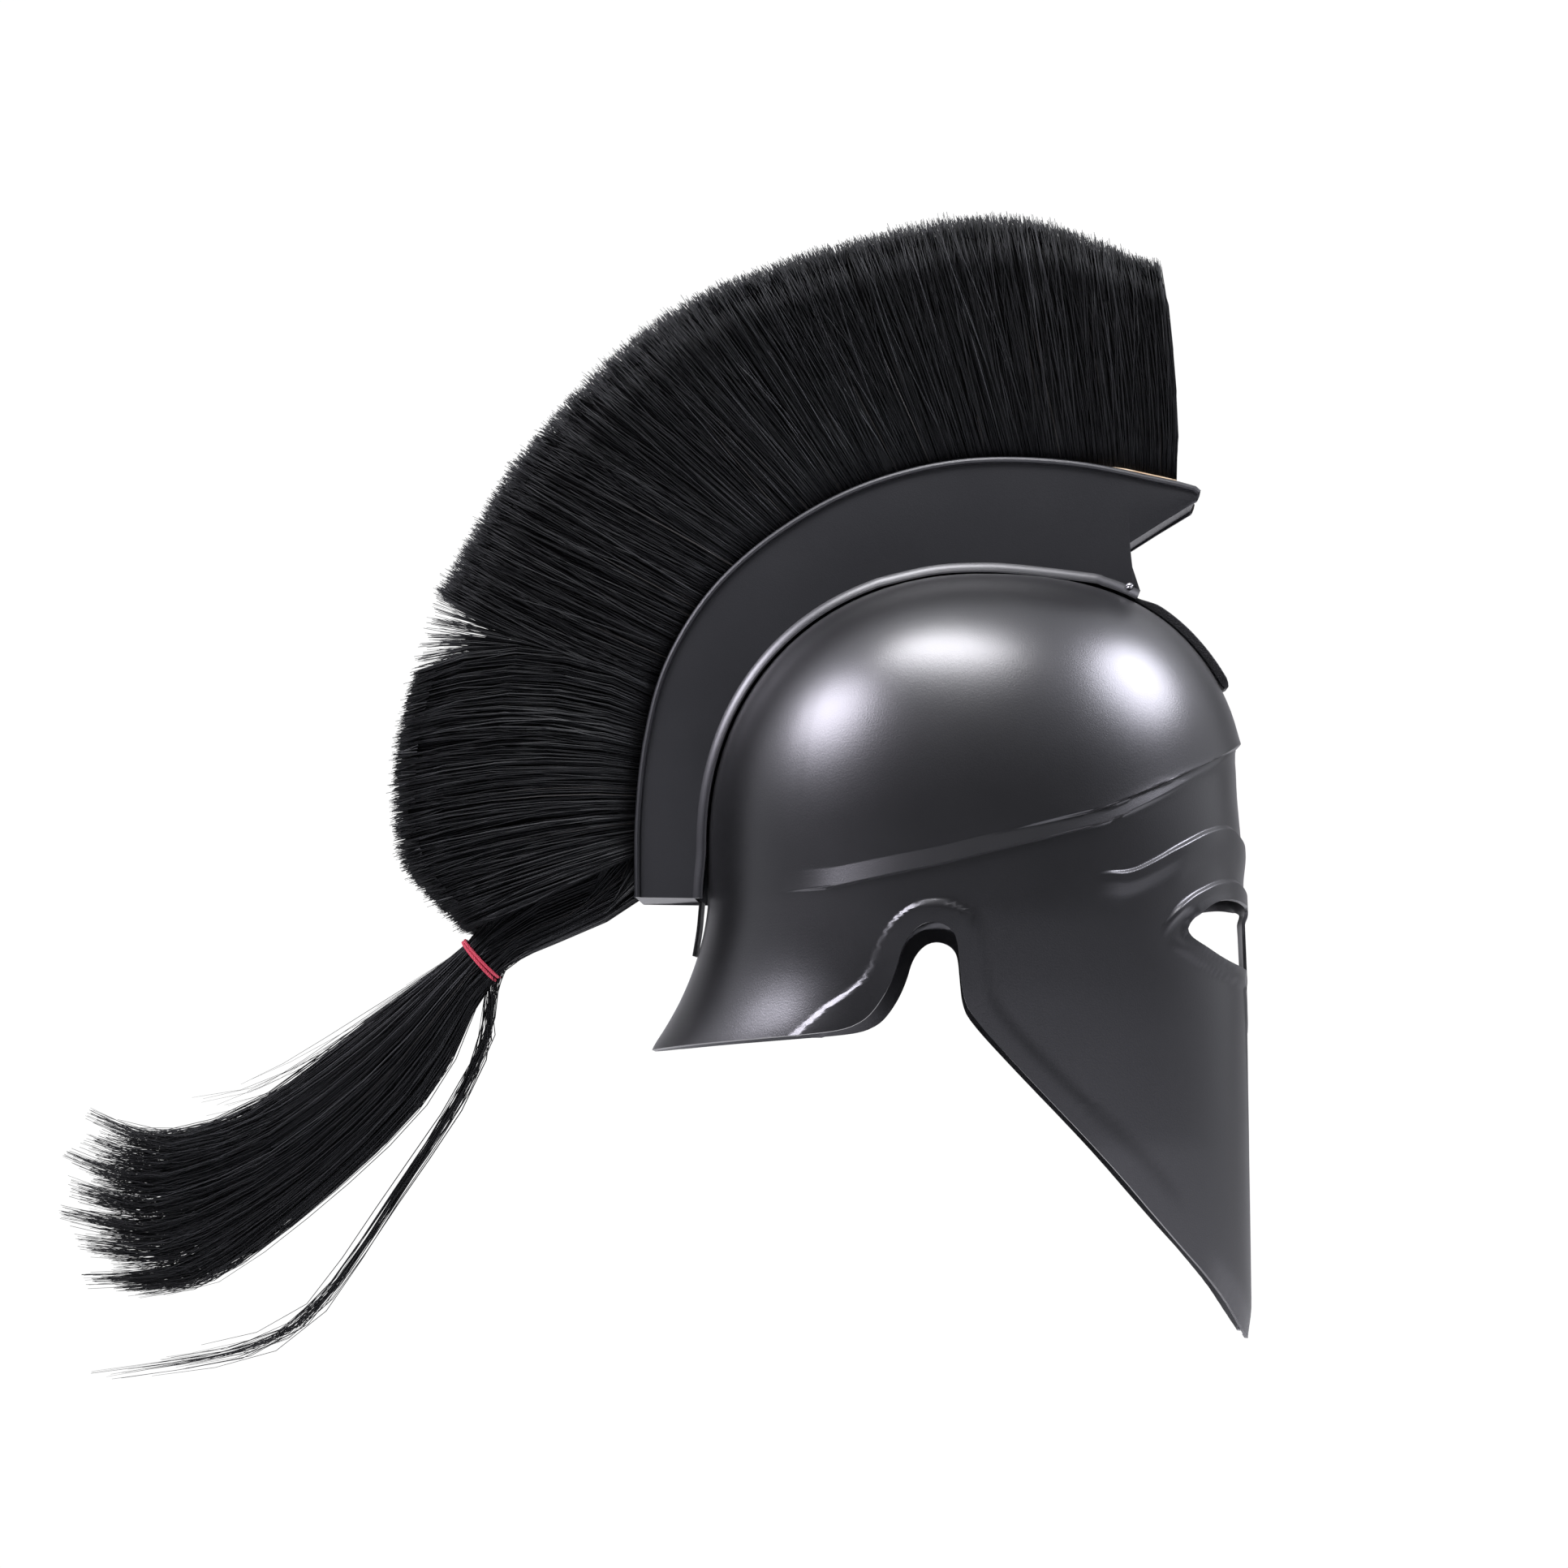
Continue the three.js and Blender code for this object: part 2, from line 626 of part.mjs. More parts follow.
// One tuft of the brush: a wedge between row i of HAIR and the next, ribbed and ragged as its locks.
function tuft(i) {
  const rear = i > HAIR_GAP_AFTER;
  const tips = brushTips[rear ? 1 : 0];
  const first = rear ? HAIR_GAP_AFTER + 1 : 0;
  const wedge = new THREE.BoxGeometry(1, 1, 1, 2 * LOCK.count, 2, 3);
  return solid(moved(wedge, (v) => {
    const u = THREE.MathUtils.lerp(0.006, 0.994, v.x + 0.5);
    const out = v.z + 0.5;
    const rib = 1 + Math.cos(u * LOCK.count * 2 * Math.PI);
    const edge = THREE.MathUtils.lerp(HAIR[i].edge, HAIR[i + 1].edge, u);
    const root = overCrest(edge, -HAIR_SUNK);
    const tip = tips.getPoint((i - first + u) / (tips.points.length - 1));
    const reached = out * (1 - LOCK.ragged * rib);
    const half = THREE.MathUtils.lerp(HAIR_ROOT_WIDTH, HAIR_TIP_WIDTH, Math.sqrt(out)) / 2;
    const bow = THREE.MathUtils.lerp(HAIR[i].bow, HAIR[i + 1].bow, u) * 4 * out * (1 - out);
    const way = new THREE.Vector2(tip.x - root.x, tip.y - root.z).normalize();
    return new THREE.Vector3(
      THREE.MathUtils.lerp(root.x, tip.x, reached) + way.y * bow,
      -v.y * 2 * (half - LOCK.deep * out * rib * 0.5),
      THREE.MathUtils.lerp(root.z, tip.y, reached) - way.x * bow,
    );
  }));
}

function plumeBase() {
  const half = CREST_WIDTH / 2 - CREST_WALL - GAP;
  const top = crestOffset(-HAIR_SUNK - GAP, BASE_FROM, BASE_TO, BASE_STEPS);
  const bottom = crestOffset(-HAIR_SUNK - BASE_DEEP, BASE_FROM, BASE_TO, BASE_STEPS).reverse();
  return plateXZ([...top, ...bottom], -half, half);
}

// The gathered rear hair with its loose locks, cut clear of the brush above it, of the wood
// that it lies on, of the crest's end and of the elastic.
function plumeTail() {
  const last = HAIR[HAIR.length - 1];
  const root = overCrest(last.edge, -HAIR_SUNK);
  const brush = plateXZ([
    { x: root.x + 10, z: root.z - GAP },
    { x: root.x + 10, z: root.z + 60 },
    { x: last.tipX - 20, z: last.tipZ + 60 },
    { x: last.tipX - 20, z: last.tipZ - 4 * GAP },
  ], -CLEAR, CLEAR);
  const end = { x: -149, inX: -100, topZ: CREST_END + 0.5, z: -160 };
  const crestEnd = plateXZ([
    { x: end.x, z: end.topZ },
    { x: end.x, z: end.z },
    { x: end.inX, z: end.z },
    { x: end.inX, z: end.topZ },
  ], -CLEAR, CLEAR);
  const wood = plateXZ([
    ...crestOffset(-HAIR_SUNK, 0, 0.15, 4),
    { x: end.inX, z: -85 },
    { x: end.inX, z: -145 },
  ], -CLEAR, CLEAR);
  return TAIL_LOCKS.map((rows) => lock(rows, 6, 8))
    .reduce((a, b) => a.add(b), lock(GATHERED, 10, 12))
    .subtract(brush)
    .subtract(wood)
    .subtract(crestEnd)
    .subtract(tieBand(TIE.cord + GAP));
}

// The elastic as a ring round the gathered hair, its cord as thick as given.
function tieBand(cord) {
  const ring = new THREE.TorusGeometry(1, 0.1, 6, 20);
  const lean = THREE.MathUtils.degToRad(TIE.lean);
  const way = new THREE.Vector3(-Math.cos(lean), 0, -Math.sin(lean));
  const across = new THREE.Vector3(-way.z, 0, way.x);
  return solid(moved(ring, (v) => {
    const round = Math.hypot(v.x, v.y);
    const thick = ((round - 1) / 0.1) * cord;
    const a = Math.atan2(v.y, v.x);
    const p = new THREE.Vector3(TIE.x, 0, TIE.z);
    p.addScaledVector(across, Math.cos(a) * (TIE.high + thick));
    p.y = -Math.sin(a) * (TIE.wide + thick);
    return p.addScaledVector(way, (v.z / 0.1) * cord);
  }));
}

// ---- assembly -----------------------------------------------------------------------------------
const helmet = new THREE.Group();
helmet.add(named("helmet_shell", helmetShell(), PAINTED_STEEL));
helmet.add(named("crest_box", crestBox(), PAINTED_STEEL));
helmet.add(named("crest_front_strap", frontStrap(), PAINTED_STEEL));
helmet.add(named("crest_rear_strap", rearTang(), PAINTED_STEEL));
helmet.add(named("crest_rivet_left", rivet(1), SCREW_STEEL));
helmet.add(named("crest_rivet_right", rivet(-1), SCREW_STEEL));
helmet.add(named("plume_base", plumeBase(), WOOD));
let tuftNumber = 0;
for (let i = 0; i < HAIR.length - 1; i += 1) {
  if (i === HAIR_GAP_AFTER) continue;
  tuftNumber += 1;
  helmet.add(named(`plume_bundle_${tuftNumber}`, tuft(i), HAIR_BLACK));
}
helmet.add(named("plume_tail", plumeTail(), HAIR_BLACK));
helmet.add(named("tie_band", tieBand(TIE.cord), RED_ELASTIC));

export default helmet;
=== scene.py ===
import bmesh
import bpy
import numpy as np
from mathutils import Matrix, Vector


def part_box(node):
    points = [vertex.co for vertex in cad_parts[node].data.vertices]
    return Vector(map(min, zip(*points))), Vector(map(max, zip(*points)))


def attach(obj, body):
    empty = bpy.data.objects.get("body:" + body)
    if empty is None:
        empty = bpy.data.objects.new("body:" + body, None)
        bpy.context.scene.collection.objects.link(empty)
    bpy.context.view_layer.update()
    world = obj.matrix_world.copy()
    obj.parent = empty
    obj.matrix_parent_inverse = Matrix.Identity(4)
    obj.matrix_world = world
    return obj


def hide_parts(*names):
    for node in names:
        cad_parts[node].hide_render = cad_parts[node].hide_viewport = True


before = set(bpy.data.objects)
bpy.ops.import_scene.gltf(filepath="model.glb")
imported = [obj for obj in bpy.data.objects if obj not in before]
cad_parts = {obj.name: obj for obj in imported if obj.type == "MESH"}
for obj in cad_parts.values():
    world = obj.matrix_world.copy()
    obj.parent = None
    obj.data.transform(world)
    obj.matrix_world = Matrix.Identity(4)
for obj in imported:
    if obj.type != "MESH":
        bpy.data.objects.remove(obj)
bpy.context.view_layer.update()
MM = 0.001  # the shapes below are worked out in millimetres

# ---- Camera, floor and lights -------------------------------------------------------------------
# The helmet is seen from its right side, from a little below its middle. Nothing carries it,
# so the floor lies well under it and curves up into a white backdrop.
camera = bpy.data.objects.new("camera", bpy.data.cameras.new("camera"))
camera.data.lens = 53.24
camera.data.sensor_width = 36
camera.location = (-0.00883, -1.0, -0.20178)
look = Vector((-0.07374, 0.99089, 0.11267))
camera.rotation_euler = look.to_track_quat("-Z", "Y").to_euler()
bpy.context.scene.collection.objects.link(camera)
bpy.context.scene.camera = camera
bpy.context.scene.view_settings.view_transform = "Standard"


def material(name, **sockets):
    """A material whose Principled shader has these sockets set, with its nodes and links."""
    made = bpy.data.materials.new(name)
    made.use_nodes = True
    nodes, links = made.node_tree.nodes, made.node_tree.links
    shader = nodes["Principled BSDF"]
    for key, value in sockets.items():
        shader.inputs[key.replace("_", " ")].default_value = value
    return made, nodes, links, shader


def into_object(name, bm, *materials):
    """A smooth-shaded object of a bmesh drawn in millimetres, standing at the origin."""
    bmesh.ops.scale(bm, verts=bm.verts, vec=(MM, MM, MM))
    mesh = bpy.data.meshes.new(name)
    bm.to_mesh(mesh)
    bm.free()
    for each in materials:
        mesh.materials.append(each)
    made = bpy.data.objects.new(name, mesh)
    bpy.context.scene.collection.objects.link(made)
    mesh.shade_smooth()
    return made


backdrop_white, nodes, links, shader = material(
    "backdrop_white", Base_Color=(0.62, 0.62, 0.63, 1), Roughness=0.9
)
glow = nodes.new("ShaderNodeEmission")
glow.inputs["Strength"].default_value = 1.02
ray = nodes.new("ShaderNodeLightPath")
seen = nodes.new("ShaderNodeMixShader")
links.new(ray.outputs["Is Camera Ray"], seen.inputs["Fac"])
links.new(shader.outputs["BSDF"], seen.inputs[1])
links.new(glow.outputs["Emission"], seen.inputs[2])
links.new(seen.outputs["Shader"], nodes["Material Output"].inputs["Surface"])

FLOOR_Z = -620
FLAT_TO = 1500  # how far behind the helmet the floor is flat
SWEEP = 1500  # radius of the curve between floor and backdrop
bm = bmesh.new()
bmesh.ops.create_grid(bm, x_segments=1, y_segments=40, size=4500)
for v in bm.verts:
    beyond = max(0, v.co.y - FLAT_TO)
    turn = min(beyond / SWEEP, np.pi / 2)
    rise = max(0, beyond - SWEEP * np.pi / 2)
    v.co.y = min(v.co.y, FLAT_TO) + SWEEP * np.sin(turn)
    v.co.z = FLOOR_Z + SWEEP * (1 - np.cos(turn)) + 3 * rise
floor = into_object("studio_floor", bm, backdrop_white)

world = bpy.data.worlds.new("studio")
bpy.context.scene.world = world
world.use_nodes = True
nodes, links = world.node_tree.nodes, world.node_tree.links
sky = nodes["Background"]
where = nodes.new("ShaderNodeTexCoord")
way = nodes.new("ShaderNodeSeparateXYZ")
behind = nodes.new("ShaderNodeMapRange")  # the room is dark behind the camera
behind.interpolation_type = "SMOOTHSTEP"
behind.inputs["From Min"].default_value = -0.7
behind.inputs["From Max"].default_value = 0.55
behind.inputs["To Min"].default_value = 0.045
behind.inputs["To Max"].default_value = 0.95
overhead = nodes.new("ShaderNodeMapRange")
overhead.inputs["From Min"].default_value = 0.08
overhead.inputs["From Max"].default_value = 0.8
overhead.inputs["To Min"].default_value = 0
overhead.inputs["To Max"].default_value = 0.45
shade = nodes.new("ShaderNodeMath")
tint = nodes.new("ShaderNodeValToRGB")
tint.color_ramp.elements[1].color = (0.95, 0.96, 1, 1)
ray = nodes.new("ShaderNodeLightPath")
pick = nodes.new("ShaderNodeMix")
pick.data_type = "RGBA"
pick.inputs["B"].default_value = (1, 1, 1, 1)
links.new(where.outputs["Generated"], way.inputs["Vector"])
links.new(way.outputs["Y"], behind.inputs["Value"])
links.new(way.outputs["Z"], overhead.inputs["Value"])
links.new(behind.outputs["Result"], shade.inputs[0])
links.new(overhead.outputs["Result"], shade.inputs[1])
links.new(shade.outputs["Value"], tint.inputs["Fac"])
links.new(tint.outputs["Color"], pick.inputs["A"])
links.new(ray.outputs["Is Camera Ray"], pick.inputs["Factor"])
links.new(pick.outputs["Result"], sky.inputs["Color"])

LIT_POINT = Vector((0, -0.04, -0.07))  # on the side of the dome that faces the camera
SOFTBOXES = [
    # name, way to it from the dome, metres away, width, height, watts, colour
    ("softbox_top", (-0.14, -0.35, 0.92), 1.7, 1.2, 0.5, 38, (1, 0.99, 0.98)),
    ("softbox_rear", (-0.76, -0.32, 0.6), 1.9, 0.95, 0.75, 42, (0.96, 0.93, 1)),
    ("softbox_front", (0.78, -0.13, 0.74), 1.9, 1.0, 0.8, 46, (0.94, 0.93, 1)),
    ("softbox_far", (-0.35, 0.8, 0.5), 2.2, 1.2, 0.9, 18, (1, 1, 1)),
]
for name, way, away, width, tall, watts, color in SOFTBOXES:
    lamp = bpy.data.lights.new(name, "AREA")
    lamp.shape = "ELLIPSE"
    lamp.size, lamp.size_y = width, tall
    lamp.energy = watts
    lamp.color = color
    holder = bpy.data.objects.new(name, lamp)
    way = Vector(way).normalized()
    holder.location = LIT_POINT + way * away
    holder.rotation_euler = (-way).to_track_quat("-Z", "Y").to_euler()
    bpy.context.scene.collection.objects.link(holder)

# ---- Helmet shell -------------------------------------------------------------------------------
# One deep-drawn bowl of 1.4 mm steel with nasal, cheek pieces and flared neck guard. Its brows,
# eyelids and borders are pressed out from inside, and it is cut out round the eyes and ears and
# painted satin black.
WALL = 1.4
SKULL = {  # full reach, height where it is widest, how full its curve is
    "front": (110.8, -95, 2.52),
    "side": (92, -112, 2.2),
    "rear": (115.8, -116, 2.14),
}
WALL_REACH = {  # height, reach
    "front": [(-336, 113.1), (-190, 113.9), (-120, 112.5), (-95, 110.8)],
    "side": [(-336, 69), (-240, 84), (-180, 89), (-150, 91), (-112, 92)],
    "rear": [
        (-336, 141), (-204, 141), (-194, 134.2), (-183, 128), (-172, 123.2),
        (-162, 119.8), (-152, 117.3), (-141, 115.8), (-116, 115.8),
    ],
}
GUARD_FLARE = 7
CREASE = [  # x, z of the lip where the skull overhangs the face
    (-130, -133), (-57, -130.6), (-15, -123.3), (24, -114), (50, -107.4),
    (75, -95.6), (95, -84.6), (107, -75.8), (113, -69),
]
LIP = 3.4
BAND = [(-80, 8), (-30, 7), (30, 6.6), (62, 6), (80, 4.8), (100, 3.6)]  # x, height of its slope
HEM = [  # x, z of the lower edge: neck guard, ear notch, cheek piece
    (-150, -204.4), (-122, -201), (-85, -198), (-62, -196.2), (-53, -194.8), (-47, -192.3),
    (-42.5, -188.8), (-36.5, -180.2), (-32.4, -170.8), (-30.4, -163.4), (-27.5, -158.2),
    (-23.4, -154.2), (-18.3, -152.8), (-13.2, -154.2), (-10, -157), (-8.4, -161),
    (-7.6, -171.5), (-6.6, -182), (-3.4, -189.8), (14.3, -209.4), (49.5, -246),
    (73.5, -274.2), (95.8, -299), (107, -317.2), (112.6, -326), (125, -330),
]
BORDER = [  # x, z of the step round the raised border of the ear notch and the cheek
    (-77, -200), (-69, -193.4), (-62, -187), (-54, -181.8), (-47, -177), (-42.5, -170.4),
    (-39.2, -160.8), (-34.6, -153.2), (-29, -148.2), (-23, -145.4), (-17, -144.6),
    (-10.5, -145.8), (-4, -149.8), (0, -155.8), (1.4, -170.8), (3, -185.8), (26.6, -211.2),
    (58, -240.8), (72, -255.8), (82, -268),
]
FACE_OPENING = [  # y, z round the right half of the eye and face slot
    (8.5, -146), (14, -144.4), (26, -142.8), (38, -141.6), (48, -142.2), (55.6, -145.6),
    (60, -150.6), (63, -155.6), (56, -161.4), (44, -166.8), (28, -169.6), (17.5, -171),
    (16, -178), (13.5, -205), (9, -300), (8, -345), (-3, -345), (-3, -201.4), (0, -201),
    (3.6, -199.4), (6.4, -194), (7.8, -170),
]
BROW = [  # y, z of the upper edge of the raised brow, then on round the side
    (0, -117.6), (10, -117), (24, -114.3), (31, -112.4), (38, -111.8), (44.7, -112.7),
    (50, -114.2), (54.6, -115.9), (60.3, -119), (65.9, -122.7), (70.2, -126.3), (73.4, -129.1),
    (76.3, -131.6), (78.8, -133), (83, -134), (88, -141), (92, -150),
]
LID = [  # y, z of the upper edge of the raised eyelid, then on round the side
    (0, -139), (12, -137.4), (24.5, -134.8), (32.5, -133.8), (41.7, -134.4), (48.9, -135.9),
    (54.6, -138.3), (59.1, -140.8), (62.9, -144), (66, -147.7), (68.5, -152.1), (72, -156),
    (80, -160), (92, -166),
]


def ramp(at, start, end):
    """0 before start, 1 after end, a smooth step between."""
    share = np.clip((at - start) / (end - start), 0, 1)
    return share * share * (3 - 2 * share)


def along(table, at, blur=0.0):
    """The second column of a table where its first is at, with its corners rounded over blur."""
    first, second = np.array(table, float).T
    offsets = np.array([-1, -0.5, 0, 0.5, 1]) * blur
    weights = [0.12, 0.23, 0.3, 0.23, 0.12]
    return sum(w * np.interp(at + o, first, second) for o, w in zip(offsets, weights))


def rounded(line, times=2, closed=False):
    """A line with its corners cut, so that it bends instead of breaking."""
    line = np.array(line, float)
    for _ in range(times):
        ahead = np.roll(line, -1, axis=0) if closed else line[1:]
        here = line if closed else line[:-1]
        cut = np.stack([0.75 * here + 0.25 * ahead, 0.25 * here + 0.75 * ahead], 1)
        cut = cut.reshape(-1, line.shape[1])
        line = cut if closed else np.vstack([line[:1], cut, line[-1:]])
    return line


def away_from(line, a, b, closed=False):
    """The distance of points (a, b) from a line."""
    best = np.full(np.shape(a), 1e9)
    ends = np.roll(line, -1, axis=0) if closed else line[1:]
    for start, end in zip(line if closed else line[:-1], ends):
        way = end - start
        t = ((a - start[0]) * way[0] + (b - start[1]) * way[1]) / (way @ way)
        t = np.clip(t, 0, 1)
        gap = np.hypot(a - start[0] - t * way[0], b - start[1] - t * way[1])
        best = np.minimum(best, gap)
    return best


def inside(line, a, b):
    """Whether points (a, b) lie inside a closed line."""
    odd = np.zeros(np.shape(a), bool)
    for (a0, b0), (a1, b1) in zip(line, np.roll(line, -1, axis=0)):
        spans = (b0 > b) != (b1 > b)
        odd ^= spans & (a < (a1 - a0) * (b - b0) / (b1 - b0 + 1e-12) + a0)
    return odd


def smooth_line(points, count, tight=0.5):
    """Points evenly spaced on a smooth curve through the given ones."""
    points = np.array(points, float)
    ends = np.vstack([2 * points[0] - points[1], points, 2 * points[-1] - points[-2]])
    spots = []
    for i in range(1, len(ends) - 2):
        p0, p1, p2, p3 = ends[i - 1 : i + 3]
        t = np.linspace(0, 1, 24, endpoint=False)[:, None]
        a, b = tight * (p2 - p0), tight * (p3 - p1)
        spots.append(
            (2 * t**3 - 3 * t**2 + 1) * p1 + (t**3 - 2 * t**2 + t) * a
            + (3 * t**2 - 2 * t**3) * p2 + (t**3 - t**2) * b
        )
    spots = np.vstack([*spots, points[-1:]])
    return spaced(spots, count)


def spaced(spots, count):
    """Points evenly spaced along a line."""
    walked = np.concatenate([[0], np.cumsum(np.linalg.norm(np.diff(spots, axis=0), axis=1))])
    goal = np.linspace(0, walked[-1], count)
    return np.stack([np.interp(goal, walked, c) for c in spots.T], -1)


HEM_LINE = rounded(HEM)
BORDER_LINE = rounded(BORDER, 3)
OPENING_LINE = rounded(FACE_OPENING, closed=True)
BROW_LINE = smooth_line(BROW, 160)
LID_LINE = smooth_line(LID, 160)


def reach(side, z):
    """How far the sheet's outer face reaches to one side at a height."""
    full, equator, power = SKULL[side]
    up = np.clip((z - equator) / (WALL - equator), 0, 1)
    skull = full * (1 - up**power) ** (1 / power)
    return np.where(z > equator, skull, along(WALL_REACH[side], z, 5))


def crease_rise(x, z):
    return z - along(CREASE, x, 5)


def from_border(x, z):
    """Millimetres from the step of the raised border, positive on the border."""
    gap = away_from(BORDER_LINE, x, z)
    return np.where(z < np.interp(x, *BORDER_LINE.T), gap, -gap)


def relief(x, y, z):
    """How far the sheet is pressed out at a point of the plain bowl."""
    y = abs(y)
    front = ramp(x, 20, 45)
    # The skull overhangs the face towards the front, and a sloped band runs along under it.
    above = crease_rise(x, z)
    flare_out = 0.85 * (1 - ramp(above, -8, 60)) + 0.15 * np.exp(-np.maximum(above, 0) / 3)
    out = LIP * ramp(x, 0, 85) * np.where(
        above < 0, flare_out * ramp(above, -1.3 - 2.4 * ramp(x, 92, 112), 0), flare_out
    )
    down = -above / along(BAND, x, 5)
    slope = np.clip(down, 0, 1) * ramp(down, 1.12 + 0.6 * ramp(x, 50, 95), 1)
    out += (1.4 - 0.7 * ramp(x, 40, 90)) * ramp(x, -80, -54) * slope
    over_brow = z - np.interp(y, *BROW_LINE.T)
    end = ramp(y, 62, 70)
    lower_edge = (1 - end) * ramp(over_brow, -18, -3) + end * ramp(over_brow, -9.5, -5.5)
    brow = ramp(over_brow, 0.9, -0.9) * lower_edge * ramp(y, 84, 79)
    out += (1.6 - 0.5 * end) * front * brow
    over_lid = z - np.interp(y, *LID_LINE.T)
    corner = ramp(y, 56, 64)
    lid_end = ramp(over_lid, -12.5 + 7 * corner, -8 + 5.5 * corner)
    out += 1.5 * front * ramp(over_lid, 0.9, -0.9) * lid_end * ramp(y, 70, 64)
    # A low rim under the eye; the edges of the slot between the cheeks are turned in.
    gap = away_from(OPENING_LINE, y, z, closed=True)
    out += 0.7 * front * ramp(gap, 7.4, 5.8) * ramp(y, 16, 24) * ramp(z, -158, -162)
    out += 0.7 * front * ramp(gap, 2, 0) * ramp(y, 14, 22)
    out -= 2 * front * ramp(gap, 5.4, 0) * ramp(z, -174, -186)
    hem_gap = away_from(HEM_LINE, x, z)
    out -= 1.8 * ramp(hem_gap, 9, 0) * ramp(x, 88, 102) * ramp(z, -270, -290)
    # The border is a clean step round the ear and a soft one down the cheek.
    inward, cheek = from_border(x, z), ramp(x, -11, 1)
    border = (1 - cheek) * ramp(inward, -0.8, 0.8) + 0.35 * cheek * ramp(inward, -3, 1)
    border *= ramp(x, -82, -74) * ramp(x, 84, 72)
    return out + (1.1 - 0.35 * ramp(x, -30, -50)) * border


def shell_point(turn, z):
    """The outer face at a turn about the vertical axis (0 is the front) and a height."""
    c, s = np.cos(turn), np.sin(turn)
    x = c * np.where(c > 0, reach("front", z), reach("rear", z))
    y = s * reach("side", z)
    out = relief(x, y, z)
    low = ramp(z, -150, -203)
    guard = GUARD_FLARE * ramp(x, -20, -80) * low * low
    return np.stack([x + c * out, y + s * (out + guard), z], -1)


def shell_kept(turn, z):
    """Millimetres inside the sheet's edges: negative where metal is cut away."""
    x, y, z = np.moveaxis(shell_point(turn, z), -1, 0)
    hem = away_from(HEM_LINE, x, z) * np.sign(z - np.interp(x, *HEM_LINE.T))
    hole = away_from(OPENING_LINE, abs(y), z, closed=True)
    hole = np.where(inside(OPENING_LINE, abs(y), z), -hole, hole)
    return np.minimum(hem, np.where(x > 40, hole, 99))


# The sheet is a grid of turns and heights, closer set on the face and round the ears. Its rows
# follow the crease, the brow and the eyelid.
half_turns = np.radians(np.concatenate([
    np.arange(0, 70, 0.7), np.arange(70, 128, 1.0), np.linspace(128, 180, 22),
]))
turns = np.concatenate([-half_turns[:0:-1], half_turns])
crease_z, brow_z, lid_z = np.full((3, len(turns)), -90.0)
for _ in range(8):
    crease_z = along(CREASE, shell_point(turns, crease_z)[:, 0], 5)
    brow_z, lid_z = (
        np.interp(np.where(abs(turns) > np.pi / 2, 92, abs(shell_point(turns, z)[:, 1])), *line.T)
        for z, line in ((brow_z, BROW_LINE), (lid_z, LID_LINE))
    )
band = along(BAND, shell_point(turns, crease_z)[:, 0], 5)


def rows_between(top, bottom, count):
    """Rows evenly set between two others, without them."""
    return [top + (bottom - top) * share for share in np.linspace(0, 1, count + 2)[1:-1]]


BOTTOM = -336
BROW_STEPS = (2.4, 1.7, 1.2, 0.9, 0.6, 0.3, 0, -0.3, -0.6, -0.9, -1.2, -1.8, -3, -5)
LID_STEPS = (3, 2, 1.3, 0.9, 0.6, 0.3, 0, -0.3, -0.6, -0.9, -1.5, -2.6, -4.2, -6)
dome_rows = 1 - np.cos(np.linspace(0.02, 1, 26) * np.pi / 2)
below_band = crease_z - band - 3
heights = np.vstack([
    np.outer(dome_rows[:-1], crease_z + 3 - WALL) + WALL,
    *[crease_z + step for step in (3, 2, 1.2, 0.5, 0, -0.35, -0.7, -1.05, -1.4)],
    *[crease_z - 1.4 - (band - 1.4) * share for share in (0.2, 0.4, 0.6, 0.8, 0.92, 1)],
    *[crease_z - band - step for step in (0.25, 0.5, 0.8, 1.3, 2, 3)],
    *rows_between(below_band, brow_z + 2.4, 9),
    *[brow_z + step for step in BROW_STEPS],
    *rows_between(brow_z - 5, lid_z + 3, 5),
    *[lid_z + step for step in LID_STEPS],
    *rows_between(lid_z - 6, lid_z + 0.36 * (BOTTOM - lid_z), 40),
    *rows_between(lid_z + 0.34 * (BOTTOM - lid_z), np.full(len(turns), BOTTOM - 4.0), 38),
])
bm = bmesh.new()
rows, columns = heights.shape
bmesh.ops.create_grid(bm, x_segments=columns - 1, y_segments=rows - 1, size=1)
for left, cut in ((True, "ALTERNATE"), (False, "FIXED")):
    half = [f for f in bm.faces if len(f.verts) > 3 and (f.calc_center_median().x < 0) == left]
    bmesh.ops.triangulate(bm, faces=half, quad_method=cut)
bm.verts.index_update()
at = np.array([v.co for v in bm.verts])
column = np.rint((at[:, 0] + 1) / 2 * (columns - 1)).astype(int)
row = np.rint((at[:, 1] + 1) / 2 * (rows - 1)).astype(int)
turn, z = turns[column], heights[row, column]
ends = np.array([[v.index for v in e.verts] for e in bm.edges])


def snap(values, held):
    """Moves vertices beside the line where values are 0 onto it, along an edge."""
    for _ in range(6):
        near, far = ends.T
        swap = (abs(values[near]) > abs(values[far])) & ~held[far] | held[near]
        near, far = np.where(swap, far, near), np.where(swap, near, far)
        crossing = (values[near] * values[far] < 0) & ~held[near]
        near, far = near[crossing], far[crossing]
        if not len(near):
            break
        share = values[near] / (values[near] - values[far])
        order = np.argsort(-share)
        near, far, share = near[order], far[order], share[order]
        goal = turn[near] + share * (turn[far] - turn[near]), z[near] + share * (z[far] - z[near])
        turn[near], z[near] = goal
        values[near] = 0


